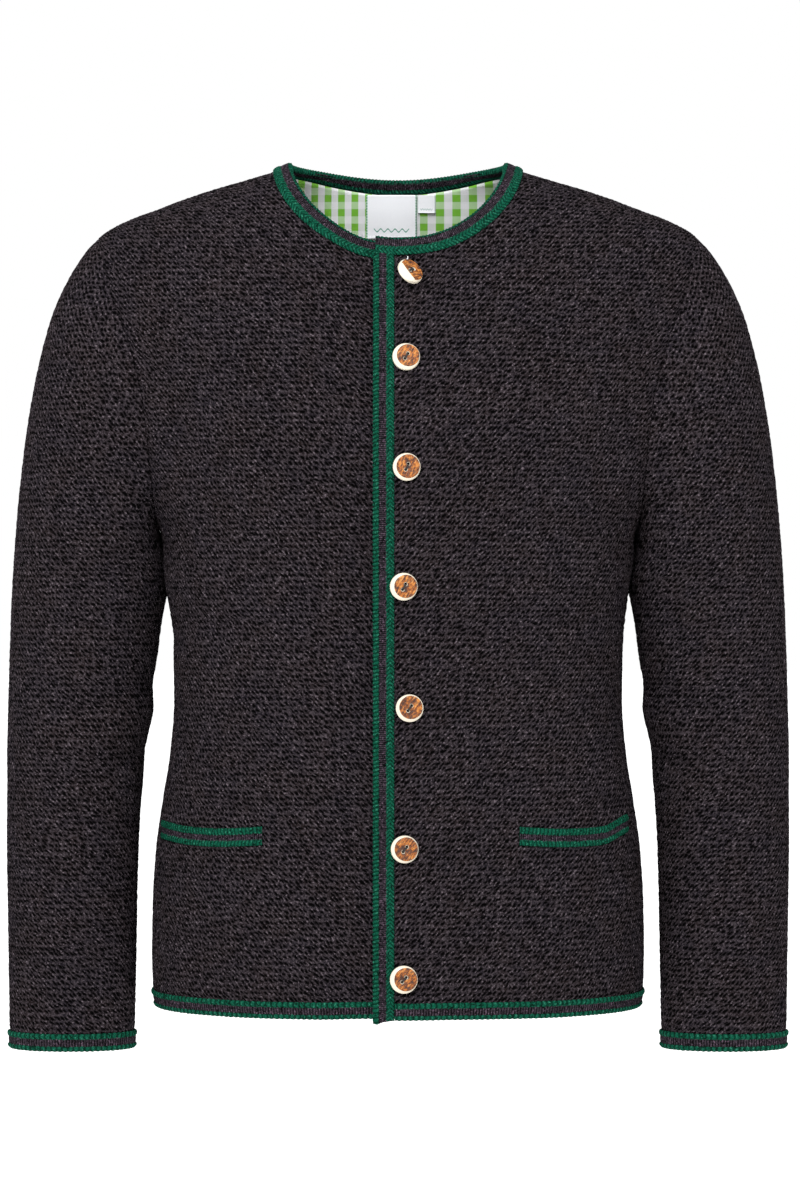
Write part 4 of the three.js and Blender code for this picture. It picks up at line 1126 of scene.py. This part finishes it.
class JACKET_OT_trims(bpy.types.Operator):
    """Sew the folded trim round the neck, down the front, along the hem and round the cuffs"""
    bl_idname = "jacket.trims"
    bl_label = "Sew on the trim"

    def execute(self, context):
        settings = context.scene.jacket_knit
        depth = settings.rib_depth / MM
        self.neck((settings.rib_pitch / MM, depth))
        self.front((settings.rib_pitch / MM, depth))
        self.hems((settings.hem_rib_pitch / MM, depth))
        self.cuffs((settings.hem_rib_pitch / MM, depth))
        return {"FINISHED"}

    def neck(self, rib):
        section = trim_outline(NECK_BAND, NECK_LIP, 0.04, 0.5, lean=(0.2, -0.9), roll=0.9)
        sew_band("neck_band", "neck_trim", neck_lookup, np.linspace(-1, 5, 1600), NECK_BAND, section, rib)

    def front(self, rib):
        def lookup(z, r):
            above = z - HEM_Z
            corner = 2.8 * np.exp(-((above / 6) ** 2) - ((r - 1.6) / 3.6) ** 2)
            return body_place(r - OVERLAP, z - 1.4 * smooth((8 - above) / 8) - corner, -1, 1, LEFT_RISE)

        levels = np.linspace(HEM_Z, neck_z(OVERLAP, NECK_BAND + 0.15, -1), 900)
        section = trim_outline(FRONT_TRIM_WIDTH, FRONT_LIP, 0.2, 0.59, lean=(0.25, 0.95))
        sew_band("front_band", "front_trim", lookup, levels, FRONT_TRIM_WIDTH, section, rib)

    def hems(self, rib):
        section = trim_outline(HEM_BAND, HEM_LIP, 0.19, 0.66, lean=(0, 0.3))
        quarter = np.linspace(0, 1, 700) * math.pi / 2
        half = np.linspace(-math.pi / 2, math.pi / 2, 1400)
        for part, face, mirror, rise, start, turns in (
            ("front_left", -1, 1, LEFT_RISE, FRONT_TRIM_WIDTH - OVERLAP + 0.4, quarter),
            ("front_right", -1, -1, RIGHT_RISE, -OVERLAP, quarter),
            ("back", 1, 1, NO_RISE, 0.0, half),
        ):
            def lookup(turn, r, start=start, face=face, mirror=mirror, rise=rise):
                z = HEM_Z + r
                x = start + (half_width(z) - start) * np.abs(np.sin(turn)) ** (2 / ROUNDNESS)
                if face < 0:
                    return body_place(x, z, face, mirror, rise)
                pick = (turn >= 0)[..., None]
                return [np.where(pick, *both) for both in zip(body_place(x, z, 1), body_place(x, z, 1, -1))]

            sew_band(f"hem_band_{part}", f"hem_trim_{part}", lookup, turns, HEM_BAND, section, rib)

    def cuffs(self, rib):
        section = trim_outline(CUFF_BAND, HEM_LIP, 0.19, 0.66, lean=(0, 0.3))

        def on_sleeve(turn, z):
            turn = np.where(turn > 1, turn - 2, turn)
            return sleeve_place(z, 1 - np.abs(turn), np.where(turn < 0, -1.0, 1.0))

        for side, mirror in (("left", 1), ("right", -1)):
            def lookup(turn, r, mirror=mirror):
                z, turn = np.broadcast_arrays(CUFF_Z - 2.6 + r, turn)
                here = on_sleeve(turn, z)
                out = unit(np.cross(on_sleeve(turn + 0.004, z) - here, on_sleeve(turn, z + 1.0) - here))
                flip = np.array([mirror, 1, 1])
                return here * flip, out * flip

            sew_band(f"cuff_band_{side}", f"cuff_trim_{side}", lookup, np.linspace(-1, 1, 600), CUFF_BAND,
                     section, rib, closed=True)


class JACKET_OT_welts(bpy.types.Operator):
    """Sew a welt under the mouth of each pocket"""
    bl_idname = "jacket.welts"
    bl_label = "Sew on the pocket welts"

    def execute(self, context):
        settings = context.scene.jacket_knit
        rib = (settings.rib_pitch / MM, settings.rib_depth / MM)
        height = WELT_HEIGHT
        section = table("r h colour rib climb", [
            (0, 0.3, 0, 0, 0), (-0.1, 1.0, 0.05, 0.6, 0), (height * 0.05, 1.75, 0.2, 1, 0.2),
            (height * 0.13, 2.2, 0.45, 1, 0.5), (height * 0.22, 2.1, 0.7, 1, 0.8),
            (height * 0.29, 1.6, 0.95, 0.7, 1), (height * 0.32, 1.4, 1, 0.6, 1),
            (height * 0.5, 1.5, 1.5, 0.6, 1), (height * 0.63, 1.4, 2, 0.6, 1),
            (height * 0.66, 1.6, 2.05, 0.7, 1), (height * 0.75, 2.1, 2.3, 1, 0.8),
            (height * 0.85, 2.2, 2.55, 1, 0.5), (height * 0.94, 1.75, 2.8, 1, 0.2),
            (height + 0.1, 1.0, 2.9, 0.6, 0), (height, 0.3, 5, 0, 0), (height * 0.5, 0.3, 5, 0, 0),
        ])
        for side, mirror, rise in (("left", 1, LEFT_RISE), ("right", -1, RIGHT_RISE)):
            outer = WELT_ENDS[mirror]
            start, end = POCKETS[mirror][0], POCKETS[mirror][1] - outer["short"]

            def lookup(x, r, mirror=mirror, rise=rise, start=start, end=end, curl=outer["curl"]):
                share = clamp01((x - start) / (end - start))
                lift = curl * smooth((share - 0.74) / 0.3) - WELT_SAG * np.sin(share * math.pi)
                return body_place(x, POCKET["bottom_z"] + r + lift, -1, mirror, rise)

            sew_band(f"pocket_band_{side}", f"pocket_welt_{side}", lookup, np.linspace(start, end, 300),
                     height, section, rib)
        return {"FINISHED"}


def sheet_wall(name, outer, inner, uv):
    """A closed wall between two grids of places, with the same UV on both."""
    points = np.concatenate([outer.reshape(-1, 3), inner.reshape(-1, 3)])
    number = np.arange(uv[..., 0].size).reshape(uv.shape[:2])
    over = np.stack([number[:-1, :-1], number[:-1, 1:], number[1:, 1:], number[1:, :-1]], axis=-1)
    over = over.reshape(-1, 4)
    under = over[:, ::-1] + number.size
    rim = np.concatenate([number[0, :-1], number[:-1, -1], number[-1, :0:-1], number[:0:-1, 0]])
    after = np.roll(rim, -1)
    edge = np.stack([after, rim, rim + number.size, after + number.size], axis=-1)
    faces = np.concatenate([np.stack([over, under], axis=1).reshape(-1, 4), edge]).tolist()
    obj = make_object(name, points, faces, np.concatenate([uv.reshape(-1, 2)] * 2))
    face_out(obj)
    return obj


class JACKET_OT_lining(bpy.types.Operator):
    """Sew the checked half moon and the two labels inside the neck"""
    bl_idname = "jacket.lining"
    bl_label = "Sew in the lining and labels"

    def execute(self, context):
        x = np.linspace(-LINING_REACH, LINING_REACH, 181)[None, :]
        lip = NECK_LIP + SEAM
        top = np.where(np.abs(x) < NECK_HALF_WIDTH + lip, neck_z(x, lip, 1), ridge_z(np.abs(x)) - 0.2)
        share = (np.abs(x) / LINING_REACH) ** LINING_EDGE["power"]
        bottom = mix(LINING_EDGE["middle_z"], LINING_EDGE["end_z"], share)
        z = mix(bottom, top, np.linspace(0, 1, 41)[:, None])
        x = np.broadcast_to(x, z.shape)
        wave = 0.15 * np.sin(x / 17) * np.sin(z / 13)
        place, out = self.on_back(x, z)
        uv = np.stack([np.interp(x, CHECK_COLUMNS["x"], CHECK_COLUMNS["number"]),
                       (z - CHECK_ROW["z"]) / CHECK_ROW["height"]], axis=-1)
        face = -KNIT - LINING_GAP + wave[..., None]
        obj = sheet_wall("check_lining", place + out * face, place + out * (face - LINING), uv)
        finish_piece(obj, "checked_lining", "lining", "back_lining")
        self.label("neck_label_cloth", "neck_label", (-26.4, 15.4), (LABEL_TOP, -50.0), 0.35)
        self.label("size_tab_cloth", "size_label", (16.3, 30.9), (LABEL_TOP, -29.4), 0.2)
        return {"FINISHED"}

    def on_back(self, x, z):
        """Places on the back over its whole width, and the ways out."""
        place, out = body_place(np.abs(x), z, 1)
        flip = np.stack([np.sign(x + 1e-9), np.ones_like(x), np.ones_like(x)], axis=-1)
        fold = body_fold(np.abs(x), z, 1)
        own = body_fold(x, z, 1)
        return (place + out * (own - fold)[..., None]) * flip, out * flip

    def label(self, name, node, sides, ends, wave):
        """A label between two x and two z that waves towards its loose lower edge."""
        u, v = np.meshgrid(np.linspace(0, 1, 41), np.linspace(0, 1, 33))
        x = mix(sides[0], sides[1], u)
        z = mix(ends[1], ends[0], v)
        place, out = self.on_back(x, z)
        curl = wave * np.sin(u * 7 + v * 2) * (1 - v) - 0.5 * (1 - v) ** 3
        face = -KNIT - LINING_GAP - LINING - SEAM - 0.2 + np.minimum(curl, 0)
        hem = 0.25 * (smooth((0.06 - v) / 0.02) + smooth((v - 0.97) / 0.02))
        near = place + out * face[..., None]
        far = place + out * (face - LABEL + 0.2 - hem)[..., None]
        obj = sheet_wall(name, near, far, np.stack([u, v], axis=-1))
        finish_piece(obj, "satin_label", "label", node)


class JACKET_OT_buttons(bpy.types.Operator):
    """Cut the seven buttons from horn and sew them on"""
    bl_idname = "jacket.buttons"
    bl_label = "Sew on the buttons"

    def execute(self, context):
        for number, values in enumerate(zip(*BUTTONS.values()), start=1):
            row = dict(zip(BUTTONS, map(float, values)))
            seat = self.seat(row)
            disc = self.disc(f"horn_button_{number}", row)
            disc.data.transform(seat)
            finish_piece(disc, "antler_horn", "horn", f"button_{number}")
            thread = self.thread(f"button_thread_{number}")
            thread.data.transform(seat)
            finish_piece(thread, "sewing_thread", "horn")
        loose = self.strand("loose_thread", LOOSE_THREAD["path"], LOOSE_THREAD["radius"])
        select(loose)
        bpy.ops.object.convert(target="MESH")
        place, out = body_place(LOOSE_THREAD["x"], LOOSE_THREAD["z"], -1, 1, LEFT_RISE)
        spot = Vector(place + out * LOOSE_THREAD["out"])
        loose.data.transform(Matrix.Scale(MM, 4) @ Matrix.Translation(spot))
        finish_piece(loose, "pale_thread", "horn")
        return {"FINISHED"}

    def seat(self, row):
        """Where a button lies on the cloth, as a matrix from its own frame, in millimetres, to metres."""
        nod, sway, turn = (math.radians(row[key]) for key in ("nod", "sway", "turn"))
        tilt = math.radians(math.hypot(row["nod"], row["sway"]))
        lift = SEAM + BUTTON_RADIUS * math.sin(tilt) - row["fall"]
        height = LEFT_RISE["rise"] + lift + BUTTON_THICKNESS
        under = row["z"] - height * body_place(row["x"], row["z"], -1)[1][2]
        place, out = body_place(row["x"], under, -1, 1, LEFT_RISE)
        out = Vector(out)
        across = Vector((0, 0, 1)).cross(out).normalized()
        basis = Matrix((across, out.cross(across), out)).transposed().to_4x4()
        spot = Vector(place) + out * lift
        local = Matrix.Rotation(nod, 4, "X") @ Matrix.Rotation(sway, 4, "Y") @ Matrix.Rotation(turn, 4, "Z")
        return Matrix.Scale(MM, 4) @ Matrix.Translation(spot) @ basis @ local

    def disc(self, name, row):
        """A button in its own frame: a drum, its dished top, two holes and perhaps a side cut flat."""
        drum, size, off = BUTTON_THICKNESS - BUTTON_DOME, row["rim_size"], row["rim_off"]
        bpy.ops.object.select_all(action="DESELECT")
        bpy.ops.mesh.primitive_cylinder_add(vertices=56, radius=BUTTON_RADIUS, depth=drum,
                                            location=(0, 0, drum / 2))
        disc = bpy.context.object
        disc.name = disc.data.name = name
        bpy.ops.object.transform_apply(location=True)
        self.edit_top(disc)
        bpy.ops.mesh.extrude_region_move(TRANSFORM_OT_translate={"value": (0, 0, BUTTON_DOME * 0.72)})
        bpy.ops.transform.resize(value=(size, size, 1), center_override=(0, 0, BUTTON_THICKNESS))
        slope = math.radians(row["rim_way"] - row["turn"])
        middle = Vector((-off * math.cos(slope), -off * math.sin(slope)))
        bpy.ops.transform.translate(value=(*middle, 0))
        bpy.ops.mesh.inset(thickness=0.9, depth=BUTTON_DOME * 0.28)
        bpy.ops.mesh.inset(thickness=2.2, depth=-0.12)
        bpy.ops.object.mode_set(mode="OBJECT")
        self.cut(disc, self.holes())
        if row["facet"]:
            self.cut(disc, self.plane(row["facet"], slope))
        bevel = disc.modifiers.new("worn_edges", "BEVEL")
        bevel.width = 0.28
        bevel.segments = 2
        bevel.limit_method = "ANGLE"
        bevel.angle_limit = math.radians(28)
        bpy.ops.object.modifier_apply(modifier=bevel.name)
        bpy.ops.object.shade_smooth_by_angle(angle=math.radians(50))
        self.mark(disc, middle, BUTTON_RADIUS * size, row["facet"] or BUTTON_RADIUS, slope)
        return disc

    def edit_top(self, disc):
        """Goes into edit mode with only the top face selected."""
        select(disc)
        for polygon in disc.data.polygons:
            polygon.select = polygon.normal.z > 0.9
        for part in (*disc.data.edges, *disc.data.vertices):
            part.select = False
        bpy.context.tool_settings.mesh_select_mode = (False, False, True)
        bpy.ops.object.mode_set(mode="EDIT")

    def cut(self, disc, tool):
        """Takes the tool's shape out of the disc."""
        cut = disc.modifiers.new("cut", "BOOLEAN")
        cut.operation = "DIFFERENCE"
        cut.object = tool
        cut.solver = "EXACT"
        select(disc)
        bpy.ops.object.modifier_apply(modifier=cut.name)
        bpy.data.objects.remove(tool, do_unlink=True)

    def plane(self, start, way):
        """A block that cuts a slope from a line across the top, start from the middle, to the rim."""
        size, fall = 40.0, BUTTON_THICKNESS - 0.8
        tilt = math.atan2(fall, BUTTON_RADIUS - start)
        flat, high = start + size / 2 * math.sin(tilt), BUTTON_THICKNESS + size / 2 * math.cos(tilt)
        bpy.ops.object.select_all(action="DESELECT")
        bpy.ops.mesh.primitive_cube_add(size=size, rotation=(0, tilt, way),
                                        location=(flat * math.cos(way), flat * math.sin(way), high))
        bpy.ops.object.transform_apply(location=True, rotation=True)
        return bpy.context.object

    def holes(self):
        """Two drills where the holes go."""
        bpy.ops.object.select_all(action="DESELECT")
        drills = []
        for side in (-0.5, 0.5):
            bpy.ops.mesh.primitive_cylinder_add(vertices=16, radius=HOLE_RADIUS, depth=12,
                                                location=(side * HOLE_SPACING, 0, 2))
            drills.append(bpy.context.object)
        select(*drills)
        bpy.ops.object.transform_apply(location=True)
        return join("button_drill", drills)

    def mark(self, disc, middle, reach, facet, way):
        """Says which faces are bark, and lays the pattern over the disc as seen from above."""
        mesh = disc.data
        layer = mesh.uv_layers[0]
        layer.name = "cloth"
        for loop in mesh.loops:
            spot = mesh.vertices[loop.vertex_index].co
            layer.data[loop.index].uv = (spot.x / BUTTON_RADIUS, spot.y / BUTTON_RADIUS)
        bark = mesh.attributes.new("bark", "FLOAT", "CORNER")
        for polygon in mesh.polygons:
            spot = polygon.center
            top = spot.z > BUTTON_THICKNESS - 0.6 and polygon.normal.z > 0.8
            inner = (Vector(spot[:2]) - middle).length < reach
            whole = spot.x * math.cos(way) + spot.y * math.sin(way) < facet
            for corner in polygon.loop_indices:
                bark.data[corner].value = 1.0 if top and inner and whole else 0.0

    def strand(self, name, path, radius):
        """A round strand along a path."""
        curve = bpy.data.curves.new(name, "CURVE")
        curve.dimensions = "3D"
        curve.bevel_depth = radius
        curve.bevel_resolution = 2
        curve.use_fill_caps = True
        spline = curve.splines.new("POLY")
        spline.points.add(len(path) - 1)
        for point, spot in zip(spline.points, path):
            point.co = (*spot, 1)
        strand = bpy.data.objects.new(name, curve)
        bpy.context.scene.collection.objects.link(strand)
        return strand

    def thread(self, name):
        """Two strands from hole to hole, and down through both."""
        strands = []
        top, half = BUTTON_THICKNESS + 0.18, HOLE_SPACING / 2
        for off in (-0.42, 0.42):
            down = [(half - 1.0, off, top), (half - 0.35, off, top - 0.35),
                    (half, off, 2.6), (half, off, 0.6)]
            up = [(-x, y, z) for x, y, z in down[::-1]]
            strands.append(self.strand(name, [*up, (0, off * 0.8, top + 0.12), *down], 0.38))
        select(*strands)
        bpy.ops.object.convert(target="MESH")
        thread = join(name, strands)
        thread.data.shade_smooth()
        return thread


class JACKET_OT_stage(bpy.types.Operator):
    """Set up the pale floor, the soft light and the camera"""
    bl_idname = "jacket.stage"
    bl_label = "Set up the stage"

    def execute(self, context):
        bpy.ops.object.select_all(action="DESELECT")
        bpy.ops.mesh.primitive_circle_add(vertices=96, radius=30, fill_type="NGON",
                                          location=(0, 0, FLOOR_LEVEL))
        floor = bpy.context.object
        floor.name = "pale_floor"
        bpy.ops.object.transform_apply(location=True)
        floor.data.materials.append(finish("pale_floor"))
        for name, (place, target, power) in LIGHTS.items():
            self.light(name, place, target, power)
        context.scene.view_settings.view_transform = "Standard"
        world = context.scene.world or bpy.data.worlds.new("studio")
        context.scene.world = world
        world.use_nodes = True
        background = world.node_tree.nodes.get("Background")
        background.inputs["Color"].default_value = (1.0, 1.0, 1.0, 1.0)
        background.inputs["Strength"].default_value = 1.0
        camera = bpy.data.cameras.new("camera")
        camera.lens = CAMERA["lens"]
        camera.sensor_width = 36
        seen = bpy.data.objects.new("camera", camera)
        seen.location = CAMERA["place"]
        seen.rotation_euler = (math.pi / 2, 0, 0)
        context.scene.collection.objects.link(seen)
        context.scene.camera = seen
        return {"FINISHED"}

    def light(self, name, place, target, power):
        """A soft round light that points at the target."""
        light = bpy.data.lights.new(name, "AREA")
        light.shape = "DISK"
        light.size = LIGHT_SIZE
        light.energy = power
        lamp = bpy.data.objects.new(name, light)
        lamp.location = place
        lamp.rotation_euler = (Vector(target) - Vector(place)).to_track_quat("-Z", "Y").to_euler()
        bpy.context.scene.collection.objects.link(lamp)


class JACKET_PT_panel(bpy.types.Panel):
    """Lists the steps that make the jacket"""
    bl_label = "Knitted Jacket"
    bl_idname = "JACKET_PT_panel"
    bl_space_type = "VIEW_3D"
    bl_region_type = "UI"
    bl_category = "Jacket"

    def draw(self, context):
        for group in (context.scene.jacket_knit, context.scene.jacket_finish):
            box = self.layout.box()
            for name in group.bl_rna.properties.keys():
                if name not in ("rna_type", "name"):
                    box.prop(group, name)
        for step in STEPS:
            self.layout.operator(step.bl_idname)


STEPS = (JACKET_OT_stage, JACKET_OT_fronts, JACKET_OT_back, JACKET_OT_sleeves, JACKET_OT_trims,
         JACKET_OT_welts, JACKET_OT_lining, JACKET_OT_buttons)
CLASSES = (JacketKnit, JacketFinish) + STEPS + (JACKET_PT_panel,)


def register():
    for cls in CLASSES:
        bpy.utils.register_class(cls)
    bpy.types.Scene.jacket_knit = bpy.props.PointerProperty(type=JacketKnit)
    bpy.types.Scene.jacket_finish = bpy.props.PointerProperty(type=JacketFinish)


def unregister():
    del bpy.types.Scene.jacket_finish
    del bpy.types.Scene.jacket_knit
    for cls in reversed(CLASSES):
        bpy.utils.unregister_class(cls)


def main():
    register()
    bpy.ops.jacket.stage()
    bpy.ops.jacket.fronts()
    bpy.ops.jacket.back()
    bpy.ops.jacket.sleeves()
    bpy.ops.jacket.trims()
    bpy.ops.jacket.welts()
    bpy.ops.jacket.lining()
    bpy.ops.jacket.buttons()


if __name__ == "__main__":
    main()
